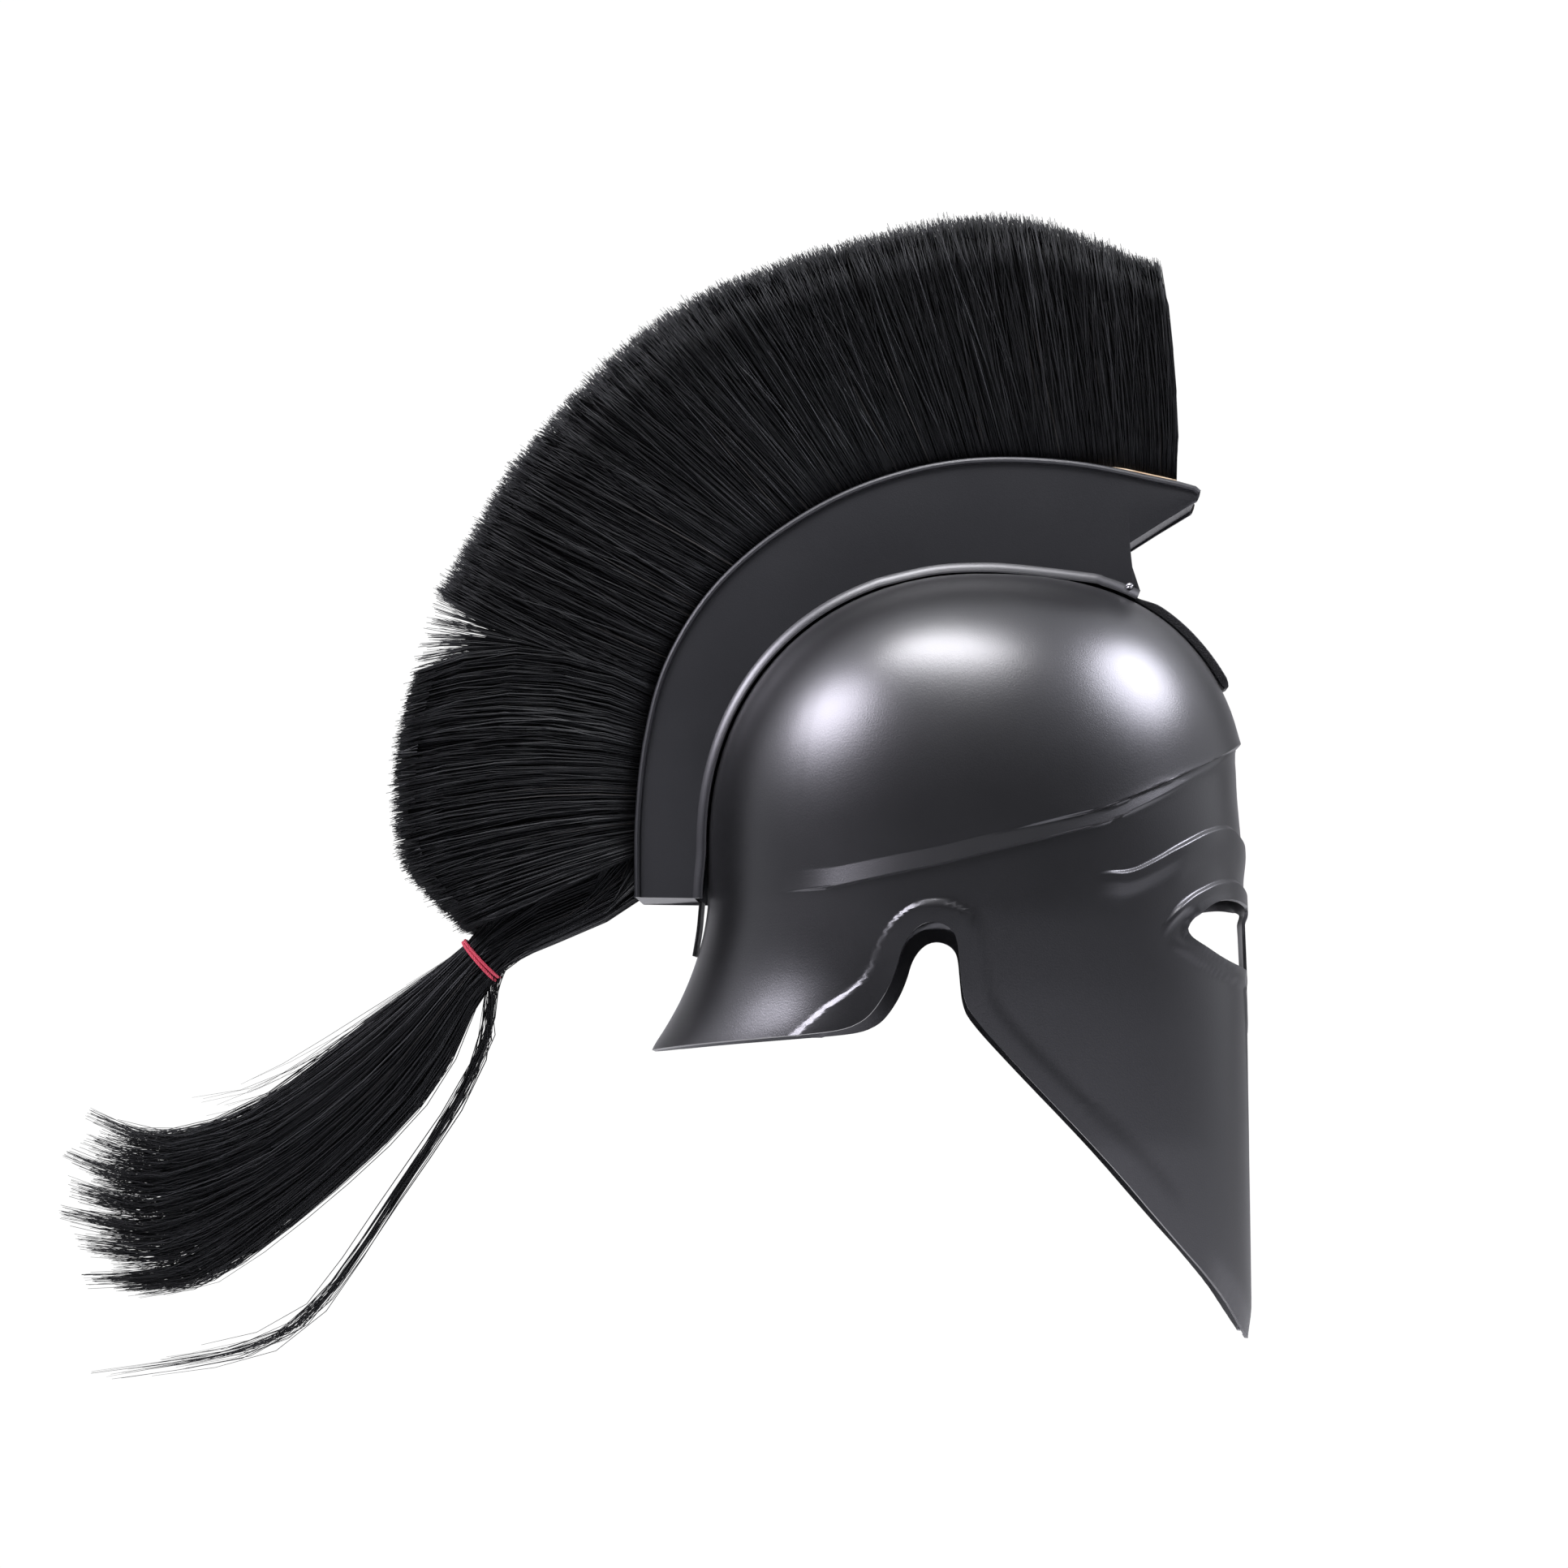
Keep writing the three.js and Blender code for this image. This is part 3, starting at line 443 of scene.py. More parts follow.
# The border's step and the cut edges run along edges of the mesh, so that they are clean.
free = np.zeros(len(turn), bool)
for level in (-0.7, 0.7):
    x, _, _ = shell_point(turn, z).T
    distance = from_border(x, z) - level
    on_border = (x > -80) & (x < -3) & (abs(distance) < 6)
    snap(np.where(on_border, distance, 1.0), free)
kept = shell_kept(turn, z)
snap(kept, free)
points = shell_point(turn, z)
for v, p in zip(bm.verts, points):
    v.co = p
gone = [f for f in bm.faces if sum(kept[v.index] for v in f.verts) < 1e-6]
bmesh.ops.delete(bm, geom=gone, context="FACES")
bmesh.ops.remove_doubles(bm, verts=bm.verts, dist=0.02)
crown = [e for e in bm.edges if e.is_boundary and all(v.co.z > -5 for v in e.verts)]
bmesh.ops.edgeloop_fill(bm, edges=crown)
bmesh.ops.recalc_face_normals(bm, faces=bm.faces)

# The grain of the paint and the slight unevenness of its gloss, used by every painted piece.
grain = bpy.data.node_groups.new("paint_grain", "ShaderNodeTree")
for way, name, kind in (
    ("INPUT", "Roughness", "NodeSocketFloat"),
    ("INPUT", "Grain", "NodeSocketFloat"),
    ("OUTPUT", "Roughness", "NodeSocketFloat"),
    ("OUTPUT", "Tone", "NodeSocketFloat"),
    ("OUTPUT", "Normal", "NodeSocketVector"),
):
    grain.interface.new_socket(name, in_out=way, socket_type=kind)
nodes, links = grain.nodes, grain.links
given, result = nodes.new("NodeGroupInput"), nodes.new("NodeGroupOutput")
where = nodes.new("ShaderNodeTexCoord")
fine = nodes.new("ShaderNodeTexNoise")
fine.inputs["Scale"].default_value = 1600
fine.inputs["Detail"].default_value = 2
clouds = nodes.new("ShaderNodeTexNoise")
clouds.inputs["Scale"].default_value = 14
clouds.inputs["Detail"].default_value = 4
spread = nodes.new("ShaderNodeMapRange")
spread.inputs["To Min"].default_value = -0.05
spread.inputs["To Max"].default_value = 0.06
gloss = nodes.new("ShaderNodeMath")
bump = nodes.new("ShaderNodeBump")
bump.inputs["Distance"].default_value = 0.00005
links.new(where.outputs["Object"], fine.inputs["Vector"])
links.new(where.outputs["Object"], clouds.inputs["Vector"])
links.new(clouds.outputs["Fac"], spread.inputs["Value"])
links.new(given.outputs["Roughness"], gloss.inputs[0])
links.new(spread.outputs["Result"], gloss.inputs[1])
links.new(fine.outputs["Fac"], bump.inputs["Height"])
links.new(given.outputs["Grain"], bump.inputs["Strength"])
links.new(gloss.outputs["Value"], result.inputs["Roughness"])
links.new(fine.outputs["Fac"], result.inputs["Tone"])
links.new(bump.outputs["Normal"], result.inputs["Normal"])


def painted(name, dark, light, roughness, grain_strength):
    """Satin paint between two shades, with the grain of the primer showing through."""
    made, nodes, links, shader = material(name)
    shader.inputs["IOR"].default_value = 1.7
    shader.inputs["Specular Tint"].default_value = (0.93, 0.93, 1, 1)
    surface = nodes.new("ShaderNodeGroup")
    surface.node_tree = grain
    surface.inputs["Roughness"].default_value = roughness
    surface.inputs["Grain"].default_value = grain_strength
    shade = nodes.new("ShaderNodeMix")
    shade.data_type = "RGBA"
    shade.inputs["A"].default_value = (*dark, 1)
    shade.inputs["B"].default_value = (*light, 1)
    links.new(surface.outputs["Tone"], shade.inputs["Factor"])
    links.new(shade.outputs["Result"], shader.inputs["Base Color"])
    links.new(surface.outputs["Roughness"], shader.inputs["Roughness"])
    links.new(surface.outputs["Normal"], shader.inputs["Normal"])
    return made


helmet_paint = painted(
    "helmet_paint", (0.0005, 0.0005, 0.0006), (0.003, 0.003, 0.0036), 0.325, 0.7
)


def finished(made, angle=40, crisp=True):
    """Bakes an object's modifiers into its mesh and keeps its edges sharp past an angle. A crisp
    one shades its broad faces flat, so that narrow steps stay narrow."""
    for stage in range(1 + crisp):
        bpy.context.view_layer.update()
        seen = made.evaluated_get(bpy.context.evaluated_depsgraph_get())
        mesh = bpy.data.meshes.new_from_object(seen)
        made.modifiers.clear()
        made.data = mesh
        if stage == 0:
            mesh.shade_smooth()
            mesh.set_sharp_from_angle(angle=np.radians(angle))
            if crisp:
                made.modifiers.new("crisp", "WEIGHTED_NORMAL").keep_sharp = True
    return made


shell = into_object("helmet_shell_formed", bm, helmet_paint)
sheet = shell.modifiers.new("sheet", "SOLIDIFY")
sheet.thickness = WALL * MM
sheet.offset = -1
finished(shell, 50)
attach(shell, "root")
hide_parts("helmet_shell")

# ---- Crest box ----------------------------------------------------------------------------------
# A curved channel of 1.5 mm steel over the crown: two flat walls joined by a strip along the
# skull, welded and painted. Its outer edges are rolled over into beads, its inner edges flared out.
CREST_EDGE = [  # x, z along its outer edge, from the nape to the tip
    (-145.8, -138), (-145.8, -104), (-142.4, -70), (-134, -38), (-117, -8.6), (-93.2, 14.9),
    (-62, 34.6), (-30, 46.4), (4, 51.4), (44.4, 48.9), (87.1, 39.4),
]
CREST_TIP = [(87.1, 39.4), (95.4, 37.2), (97.3, 35.2), (96, 31.6)]
CREST_CORNER = (66.7, 13.4)  # where the front end turns from upright to the underside of the tip
CREST_HALF = 13
CREST_WALL = 1.5
CREST_FLOOR = 4
END_Z = -138  # height of its nape end
END_SLANT = 1.6  # how much lower the nape end is on the wearer's left
STRIP_SLANTS = (1, 1, 0.8, 0.4)  # share of that slant at the strip's first stations


def lifted(line, by):
    """A line in the XZ plane moved sideways, away from the dome."""
    way = np.gradient(line, axis=0)
    way /= np.linalg.norm(way, axis=1)[:, None]
    return line + by * np.stack([-way[:, 1], way[:, 0]], -1)


rear_heights = np.linspace(-150, -4, 90)
front_heights = np.linspace(-4, -50, 40)
skull_line = np.vstack([
    np.stack([shell_point(np.pi, rear_heights)[:, 0], rear_heights], -1),
    [(-18, 0.4), (0, WALL), (18, 0.4)],
    np.stack([shell_point(0, front_heights)[:, 0], front_heights], -1),
])
skull_line = spaced(smooth_line(skull_line, 600), 600)
under_crest = skull_line[(skull_line[:, 1] > -138.8) | (skull_line[:, 0] > 0)]
under_crest = lifted(under_crest, 0.4 + 1.4 * ramp(under_crest[:, 1], -116, -137)[:, None])
under_crest = spaced(under_crest[under_crest[:, 0] < 69.2], 160)
crest_edge = smooth_line(CREST_EDGE, 200)


def loft(bm, sections, around=True):
    """Skins a row of sections, each as many points in millimetres, and closes its two ends."""
    sections = np.array(sections, float)
    if around:
        sections = np.concatenate([sections, sections[:, :1]], 1)
    rows, columns = sections.shape[:2]
    order = bm.verts.layers.int.get("order") or bm.verts.layers.int.new("order")
    made = bmesh.ops.create_grid(bm, x_segments=columns - 1, y_segments=rows - 1, size=1)["verts"]
    for v in made:
        i = round((v.co.y + 1) / 2 * (rows - 1))
        j = round((v.co.x + 1) / 2 * (columns - 1))
        v.co = sections[i, j]
        v[order] = i if i in (0, rows - 1) else -1
    if around:
        bmesh.ops.remove_doubles(bm, verts=made, dist=1e-4)
        made = [v for v in made if v.is_valid]
        for end in (0, rows - 1):
            # Kept in order, without doubles, so that the cap is the same in every run.
            rim = dict.fromkeys(
                e for v in made if v[order] == end for e in v.link_edges if e.is_boundary
            )
            bmesh.ops.edgeloop_fill(bm, edges=list(rim))
    return made


def roll(bm, line, radius, sides=10, high=1.0):
    """A round roll along a line of points."""
    line = np.array(line, float)
    way = np.gradient(line, axis=0)
    way /= np.linalg.norm(way, axis=1)[:, None]
    over = np.cross(way, np.cross([0, 1, 0], way))
    out = np.cross(way, over)
    radius = np.broadcast_to(radius, len(line))[:, None, None]
    turns = np.linspace(0, 2 * np.pi, sides, endpoint=False)
    spots = line[:, None] + radius * (
        np.cos(turns)[None, :, None] * over[:, None] * high
        + np.sin(turns)[None, :, None] * out[:, None]
    )
    return loft(bm, spots)


# Each wall runs from the skull to the edge; near the front its stations fan out to the tip.
FAN_FROM, FAN_TO = 57, 66.4  # x of the edge over the front end's foot and over its corner
over_end = np.argmin(abs(crest_edge[:, 0] - FAN_FROM))
over_corner = np.argmin(abs(crest_edge[:, 0] - FAN_TO))
tip_line = np.vstack([crest_edge[over_corner:], smooth_line(CREST_TIP, 20)[1:]])
front_end = np.array([under_crest[-1], CREST_CORNER], float)
inner = np.vstack([
    spaced(under_crest, 118), spaced(front_end, 17)[1:],
    spaced(np.array([CREST_CORNER, (81, 22.4), (95.7, 31.2)]), 19)[1:],
])
outer = np.vstack([
    spaced(crest_edge[: over_end + 1], 118), spaced(crest_edge[over_end : over_corner + 1], 17)[1:],
    spaced(tip_line, 19)[1:],
])
bm = bmesh.new()
for side in (-1, 1):
    wall = []
    for near, far in zip(inner, outer):
        tall = np.linalg.norm(far - near)
        share = np.array([0, 0.12, 0.3, 0.5, 0.7, 0.88, 1])
        outwards = CREST_HALF + 0.5 * np.sin(share * np.pi)
        hang = END_SLANT * (side > 0) * (near[1] < END_Z)
        near, far = near - (0, hang), far - (0, hang)
        front_face = [
            (near[0] + s * (far[0] - near[0]), side * o, near[1] + s * (far[1] - near[1]))
            for s, o in zip(share, outwards)
        ]
        back_face = [(x, y - side * CREST_WALL, z) for x, y, z in front_face[::-1]]
        wall.append(front_face + back_face)
    loft(bm, wall)
    bead = lifted(crest_edge, -0.6)
    bead = np.vstack([bead, [(95, 36.4), (96.4, 34.8)]])
    bead = spaced(bead, 150)
    flat = np.full(len(bead), side * (CREST_HALF + 0.1))
    roll(bm, np.stack([bead[:, 0], flat, bead[:, 1]], -1), 1.5)
    # The wall's inner edge flares out over the dome in a smooth round.
    flange = []
    for lift, spread in ((4.2, 0.1), (3.2, 0.35), (2.3, 0.8), (1.4, 1.4), (0.6, 2.2), (0, 3.1),
                         (-0.7, 3.2), (-0.8, 1.9), (0, 0.6), (1.6, -0.6)):
        path = lifted(under_crest, lift)
        flange.append(np.stack([path[:, 0], np.full(len(path), side * (CREST_HALF + spread)),
                                path[:, 1]], -1))
    loft(bm, np.stack(flange, 1))
# The strip: nape end, floor along the skull, upright front end, underside of the tip.
strip = np.vstack([
    [(-146.2, END_Z)], [(-134, -137.8)], lifted(under_crest, CREST_FLOOR)[::3],
    [(67.4, 4), (66.2, 14), (80.5, 23.2), (95.2, 32.3)],
])
strip[2, 1] = -137.6
strip_in = lifted(strip, CREST_WALL)
spots = []
for i, (here, there) in enumerate(zip(strip, strip_in)):
    hang = END_SLANT * STRIP_SLANTS[i] if i < len(STRIP_SLANTS) else 0
    spots.append([
        (here[0], -CREST_HALF + 0.2, here[1]), (here[0], CREST_HALF - 0.2, here[1] - hang),
        (there[0], CREST_HALF - 0.2, there[1] - hang), (there[0], -CREST_HALF + 0.2, there[1]),
    ])
loft(bm, spots)
bmesh.ops.recalc_face_normals(bm, faces=bm.faces)
crest_paint = painted("crest_paint", (0.0006, 0.0006, 0.001), (0.004, 0.0045, 0.006), 0.37, 0.8)
crest = finished(into_object("crest_box_formed", bm, crest_paint), 35)
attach(crest, "root")
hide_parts("crest_box")

# ---- Crest straps -------------------------------------------------------------------------------
# Two flat steel straps that go on from the ends of the crest along the skull, and hold it there:
# a thick one down the forehead, a thin one bent over the hollow of the neck. Painted dull black.
STRAP_HALF = 7  # half its width
strap_line = skull_line[(skull_line[:, 0] > 68) & (skull_line[:, 0] < 106.6)]
bm = bmesh.new()
spots = []
line = spaced(strap_line, 30)
thickness = 2.4 + 1.9 * ramp(np.arange(len(line)), 0, 6)
for i, (low, high) in enumerate(zip(lifted(line, 0.4), lifted(line, thickness[:, None]))):
    inset = (1.6, 0.5, 0.0)[min(len(line) - 1 - i, 2)]  # its end is rounded off
    middle, thinner = (low + high) / 2, 1 - 0.3 * inset
    low, high = middle + (low - middle) * thinner, middle + (high - middle) * thinner
    half = STRAP_HALF - inset
    spots.append([
        (low[0], -half, low[1]), (low[0], half, low[1]), (high[0], half, high[1]),
        (high[0], half * 0.5, high[1]), (high[0], 0, high[1]), (high[0], -half * 0.5, high[1]),
        (high[0], -half, high[1]),
    ])
loft(bm, spots)
bmesh.ops.recalc_face_normals(bm, faces=bm.faces)
strap_paint = painted("strap_paint", (0.0005, 0.0005, 0.0005), (0.005, 0.005, 0.006), 0.45, 6.0)
strap_gloss = strap_paint.node_tree.nodes["Principled BSDF"].inputs["Specular IOR Level"]
strap_gloss.default_value = 0.18
front_strap = into_object("crest_front_strap_formed", bm, strap_paint)
soft = front_strap.modifiers.new("soft_edges", "BEVEL")
soft.width = 0.5 * MM
soft.segments = 2
finished(front_strap, 50)
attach(front_strap, "root")
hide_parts("crest_front_strap")

TANG = [(-118.2, -139.5), (-118.6, -144.1), (-119.2, -150.8), (-120, -156.4), (-121.1, -163)]
bm = bmesh.new()
line = smooth_line(TANG, 16)
loft(bm, [
    [(x - 1.2, -STRAP_HALF, z), (x - 1.2, STRAP_HALF, z), (x, STRAP_HALF, z), (x, -STRAP_HALF, z)]
    for x, z in line
])
bmesh.ops.recalc_face_normals(bm, faces=bm.faces)
rear_strap = into_object("crest_rear_strap_formed", bm, strap_paint)
soft = rear_strap.modifiers.new("soft_edges", "BEVEL")
soft.width = 0.3 * MM
soft.segments = 2
finished(rear_strap, 50)
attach(rear_strap, "root")
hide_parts("crest_rear_strap")

# ---- Crest screws -------------------------------------------------------------------------------
# A small round-headed steel screw with a slot on each side of the crest, at its lower front
# corner, holds the strap's tab inside the wall. It is left bright.
screw_steel, nodes, links, shader = material(
    "screw_steel", Base_Color=(0.34, 0.34, 0.36, 1), Metallic=1.0
)
where = nodes.new("ShaderNodeTexCoord")
scratches = nodes.new("ShaderNodeTexNoise")
scratches.inputs["Scale"].default_value = 900
worn = nodes.new("ShaderNodeMapRange")
worn.inputs["To Min"].default_value = 0.22
worn.inputs["To Max"].default_value = 0.45
links.new(where.outputs["Object"], scratches.inputs["Vector"])
links.new(scratches.outputs["Fac"], worn.inputs["Value"])
links.new(worn.outputs["Result"], shader.inputs["Roughness"])
SCREW_HEAD = 1.6  # its radius
for name, side in (("crest_rivet_left", 1), ("crest_rivet_right", -1)):
    low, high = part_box(name)
    middle = (low + high) / 2 / MM
    bm = bmesh.new()
    bmesh.ops.create_uvsphere(bm, u_segments=24, v_segments=12, radius=SCREW_HEAD)
    bmesh.ops.bisect_plane(
        bm, geom=[*bm.verts, *bm.edges, *bm.faces], plane_co=(0, 0, 0), plane_no=(0, side, 0),
        clear_inner=True,
    )
    bmesh.ops.edgeloop_fill(bm, edges=[e for e in bm.edges if e.is_boundary])
    for v in bm.verts:
        on_top, in_slot = abs(v.co.y) > 1, abs(v.co.z - 0.3 * v.co.x) < 0.25
        if on_top and in_slot:
            v.co.y -= side * 0.4
    bmesh.ops.translate(
        bm, verts=bm.verts, vec=(middle.x + SCREW_HEAD, side * (CREST_HALF + 0.4), middle.z - 0.8)
    )
    bmesh.ops.recalc_face_normals(bm, faces=bm.faces)
    screw = finished(into_object(f"{name}_head", bm, screw_steel))
    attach(screw, "root")
    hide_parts(name)

# ---- Plume base ---------------------------------------------------------------------------------
# A bent strip of pale wood in the mouth of the crest box, which the hair is glued into. It stands
# a little out of the crest at its front end.
BASE_HALF = 11.1
BASE_DEEP = 12.6
bm = bmesh.new()
line = smooth_line(CREST_EDGE, 80)[1:]


def wood_proud(share):
    """How far the wood stands out of the crest at a share of its edge."""
    return -2.9 + 4.9 * ramp(share, 0.84, 0.94)


proud = wood_proud(np.linspace(0, 1, len(line)))
top, bottom = lifted(line, 0), lifted(line, -BASE_DEEP)
way = (top - bottom) / BASE_DEEP
top = top + way * proud[:, None]
spots = []
for i, ((x, z), (u, w)) in enumerate(zip(top, bottom)):
    half = BASE_HALF - (0.6 if i in (0, len(line) - 1) else 0)
    spots.append([(u, -half, w), (u, half, w), (x, half, z), (x, -half, z)])
loft(bm, spots)
bmesh.ops.recalc_face_normals(bm, faces=bm.faces)
pale_wood, nodes, links, shader = material("pale_wood", Roughness=0.72)
where = nodes.new("ShaderNodeTexCoord")
stretch = nodes.new("ShaderNodeMapping")
stretch.inputs["Scale"].default_value = (60, 700, 700)
fibres = nodes.new("ShaderNodeTexNoise")
fibres.inputs["Scale"].default_value = 1
fibres.inputs["Detail"].default_value = 5
tones = nodes.new("ShaderNodeValToRGB")
tones.color_ramp.elements[0].position = 0.3
tones.color_ramp.elements[0].color = (0.50, 0.34, 0.20, 1)
tones.color_ramp.elements[1].position = 0.7
tones.color_ramp.elements[1].color = (0.80, 0.66, 0.48, 1)
ridges = nodes.new("ShaderNodeBump")
ridges.inputs["Distance"].default_value = 0.0002
ridges.inputs["Strength"].default_value = 0.5
links.new(where.outputs["Object"], stretch.inputs["Vector"])
links.new(stretch.outputs["Vector"], fibres.inputs["Vector"])
links.new(fibres.outputs["Fac"], tones.inputs["Fac"])
links.new(tones.outputs["Color"], shader.inputs["Base Color"])
links.new(fibres.outputs["Fac"], ridges.inputs["Height"])
links.new(ridges.outputs["Normal"], shader.inputs["Normal"])
base = finished(into_object("plume_base_strip", bm, pale_wood))
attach(base, "root")
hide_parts("plume_base")

# ---- Plume --------------------------------------------------------------------------------------
# A stiff brush of black horsehair, glued by its roots into the wood and trimmed at the tips, so
# that it fans out from the crest. Each part is some thousands of strands round a dark core.
HAIR = [  # share of the crest's edge at the roots, x and z of the tips, upward bow
    (1.0, 80, 137, 3), (0.845, 13, 160, 0), (0.69, -66, 147, 0), (0.56, -137, 118, 0),
    (0.43, -196, 61, 0), (0.25, -234, -3, -2),
    (0.25, -245, -41, 15), (0.17, -252.4, -78, 6), (0.1, -249, -122, 4), (0.055, -222, -152, 0),
]
UPPER_ROWS = 6  # the strands part behind this row
ROOT_HALF, TIP_HALF = 10.3, 19
ROOTS_SUNK = 1  # under the top of the wood
edge_line = smooth_line(CREST_EDGE, 400)
edge_way = lifted(edge_line, 1) - edge_line
root_line = edge_line + (wood_proud(np.linspace(0, 1, 400)) - ROOTS_SUNK)[:, None] * edge_way
tip_lines = [smooth_line([h[1:3] for h in rows], 200)
             for rows in (HAIR[:UPPER_ROWS], HAIR[UPPER_ROWS:])]
rng = np.random.default_rng(7)


def at_row(values, place):
    return np.interp(place, np.arange(len(values)), values)


def hair_way(place, sideways, reached, rear):
    """A point of the brush: place along the rows of one part, -1 to 1 across, 0 to 1 outwards."""
    rows = HAIR[UPPER_ROWS:] if rear else HAIR[:UPPER_ROWS]
    share = at_row([h[0] for h in rows], place) * (len(edge_line) - 1)
    root = np.stack([at_row(c, share) for c in root_line.T], -1)
    tips = tip_lines[rear]
    tip_row = tip_places[rear]
    tip = np.stack([np.interp(place, tip_row, c) for c in tips.T], -1)
    bow = at_row([h[3] for h in rows], place) * 4 * reached * (1 - reached)
    way = tip - root
    way /= np.linalg.norm(way, axis=-1)[..., None]
    half = ROOT_HALF + (TIP_HALF - ROOT_HALF) * np.sqrt(np.clip(reached, 0, 1))
    return np.stack([
        root[..., 0] + (tip[..., 0] - root[..., 0]) * reached + way[..., 1] * bow,
        sideways * half,
        root[..., 1] + (tip[..., 1] - root[..., 1]) * reached - way[..., 0] * bow,
    ], -1)


# Where along each line of tips the rows stand.
tip_places = []
for rows, tips in ((HAIR[:UPPER_ROWS], tip_lines[0]), (HAIR[UPPER_ROWS:], tip_lines[1])):
    stops = [np.argmin(np.hypot(*(tips - h[1:3]).T)) for h in rows]
    tip_places.append(np.interp(np.arange(len(tips)), stops, np.arange(len(rows))))

# Hair's own gloss: dark, with tones that change from strand to strand and along each one.
hair, nodes, links, shader = material("horsehair", IOR=1.5, Specular_IOR_Level=0.26)
shader.inputs["Specular Tint"].default_value = (0.9, 0.93, 1, 1)
tone = nodes.new("ShaderNodeAttribute")
tone.attribute_name = "tone"
shades = nodes.new("ShaderNodeValToRGB")
shades.color_ramp.elements[0].color = (0.0005, 0.0005, 0.0007, 1)
shades.color_ramp.elements[1].color = (0.024, 0.022, 0.021, 1)
middle = shades.color_ramp.elements.new(0.8)
middle.color = (0.0042, 0.0042, 0.0047, 1)
dull = nodes.new("ShaderNodeMapRange")
dull.inputs["To Min"].default_value = 0.55
dull.inputs["To Max"].default_value = 0.3
links.new(tone.outputs["Fac"], shades.inputs["Fac"])
links.new(shades.outputs["Color"], shader.inputs["Base Color"])
links.new(tone.outputs["Fac"], dull.inputs["Value"])
links.new(dull.outputs["Result"], shader.inputs["Roughness"])


def strand_mesh(name, count, steps):
    """Many three-sided strands standing in one mesh: an array of a tapered one."""
    bm = bmesh.new()
    bmesh.ops.create_cone(bm, cap_ends=True, segments=3, radius1=1, radius2=1, depth=steps)
    upright = [e for e in bm.edges if abs(e.verts[0].co.z - e.verts[1].co.z) > 0.5]
    bmesh.ops.subdivide_edges(bm, edges=upright, cuts=steps - 1, use_grid_fill=True)
    mesh = bpy.data.meshes.new(name)
    bm.to_mesh(mesh)
    bm.free()
    made = bpy.data.objects.new(name, mesh)
    bpy.context.scene.collection.objects.link(made)
    many = made.modifiers.new("many", "ARRAY")
    many.use_relative_offset = False
    many.use_constant_offset = True
    many.constant_offset_displace = (0, 0, 0)
    many.count = count
    finished(made, 180, crisp=False)
    made.data.materials.append(hair)
    return made


def comb(made, paths, radius, tones):
    """Lays the strands of a mesh along their paths, tapering to their tips."""
    count, steps = paths.shape[:2]
    spots = np.empty(len(made.data.vertices) * 3, np.float32)
    made.data.vertices.foreach_get("co", spots)
    spots = spots.reshape(count, -1, 3)
    level = np.rint(spots[0, :, 2] + (steps - 1) / 2).astype(int)
    around = np.arctan2(spots[0, :, 1], spots[0, :, 0])
    way = np.gradient(paths, axis=1)
    way /= np.linalg.norm(way, axis=2, keepdims=True) + 1e-9
    first = np.cross(way, [0.1, 1, 0.05])
    first /= np.linalg.norm(first, axis=2, keepdims=True)
    second = np.cross(way, first)
    thick = radius[:, None] * (1 - 0.7 * np.linspace(0, 1, steps)[None] ** 4)
    spin = around[None, :, None] + rng.uniform(0, 6.28, (count, 1, 1))
    placed = paths[:, level] + thick[:, level, None] * (
        np.cos(spin) * first[:, level] + np.sin(spin) * second[:, level]
    )
    made.data.vertices.foreach_set("co", (placed * MM).astype(np.float32).ravel())
    mark = made.data.attributes.new("tone", "FLOAT", "POINT")
    darker_tip = 1 - 0.8 * (level / (steps - 1)) ** 3
    mark.data.foreach_set("value", np.outer(tones, darker_tip).astype(np.float32).ravel())
    made.data.update()


def joined(first, second):
    """One object of two, with the first one's name."""
    with bpy.context.temp_override(
        active_object=first, selected_editable_objects=[first, second], object=first
    ):
        bpy.ops.object.join()
    return first


# The hair deep inside the brush, where hardly any light gets in; its dark is partly painted shade.
hair_core_painted_shade, nodes, links, shader = material("hair_core_painted_shade", Roughness=1, Specular_IOR_Level=0.04)
where = nodes.new("ShaderNodeTexCoord")
depths = nodes.new("ShaderNodeTexNoise")
depths.inputs["Scale"].default_value = 700
shades = nodes.new("ShaderNodeValToRGB")
shades.color_ramp.elements[0].color = (0.0003, 0.0003, 0.0004, 1)
shades.color_ramp.elements[1].color = (0.004, 0.004, 0.0045, 1)
links.new(where.outputs["Object"], depths.inputs["Vector"])
links.new(depths.outputs["Fac"], shades.inputs["Fac"])
links.new(shades.outputs["Color"], shader.inputs["Base Color"])

PLUME_PARTS = [
    # name, rear part, rows it covers, its open ends, strands, nodes it replaces
    ("plume_front", False, (0, 1.5), (0,), 4600, ("plume_bundle_1",)),
    ("plume_crown", False, (1.5, 3), (), 4600, ("plume_bundle_2", "plume_bundle_3")),
    ("plume_back", False, (3, 5), (5,), 5200, ("plume_bundle_4", "plume_bundle_5")),
    ("plume_nape", True, (0, 3), (0, 3), 4800,
     ("plume_bundle_6", "plume_bundle_7", "plume_bundle_8")),
]
STRAND_STEPS = 5
END_STRANDS = 320
PARTING_STRANDS = 260
PARTING_TUFTS = 7
LOCKS = 34  # in each row of the brush
CORE_SIDE, CORE_REACH, CORE_TOP = 0.88, 0.93, 0.945  # how near the core comes to the strands
TRIM_SHARE = 0.4  # short tips for each strand
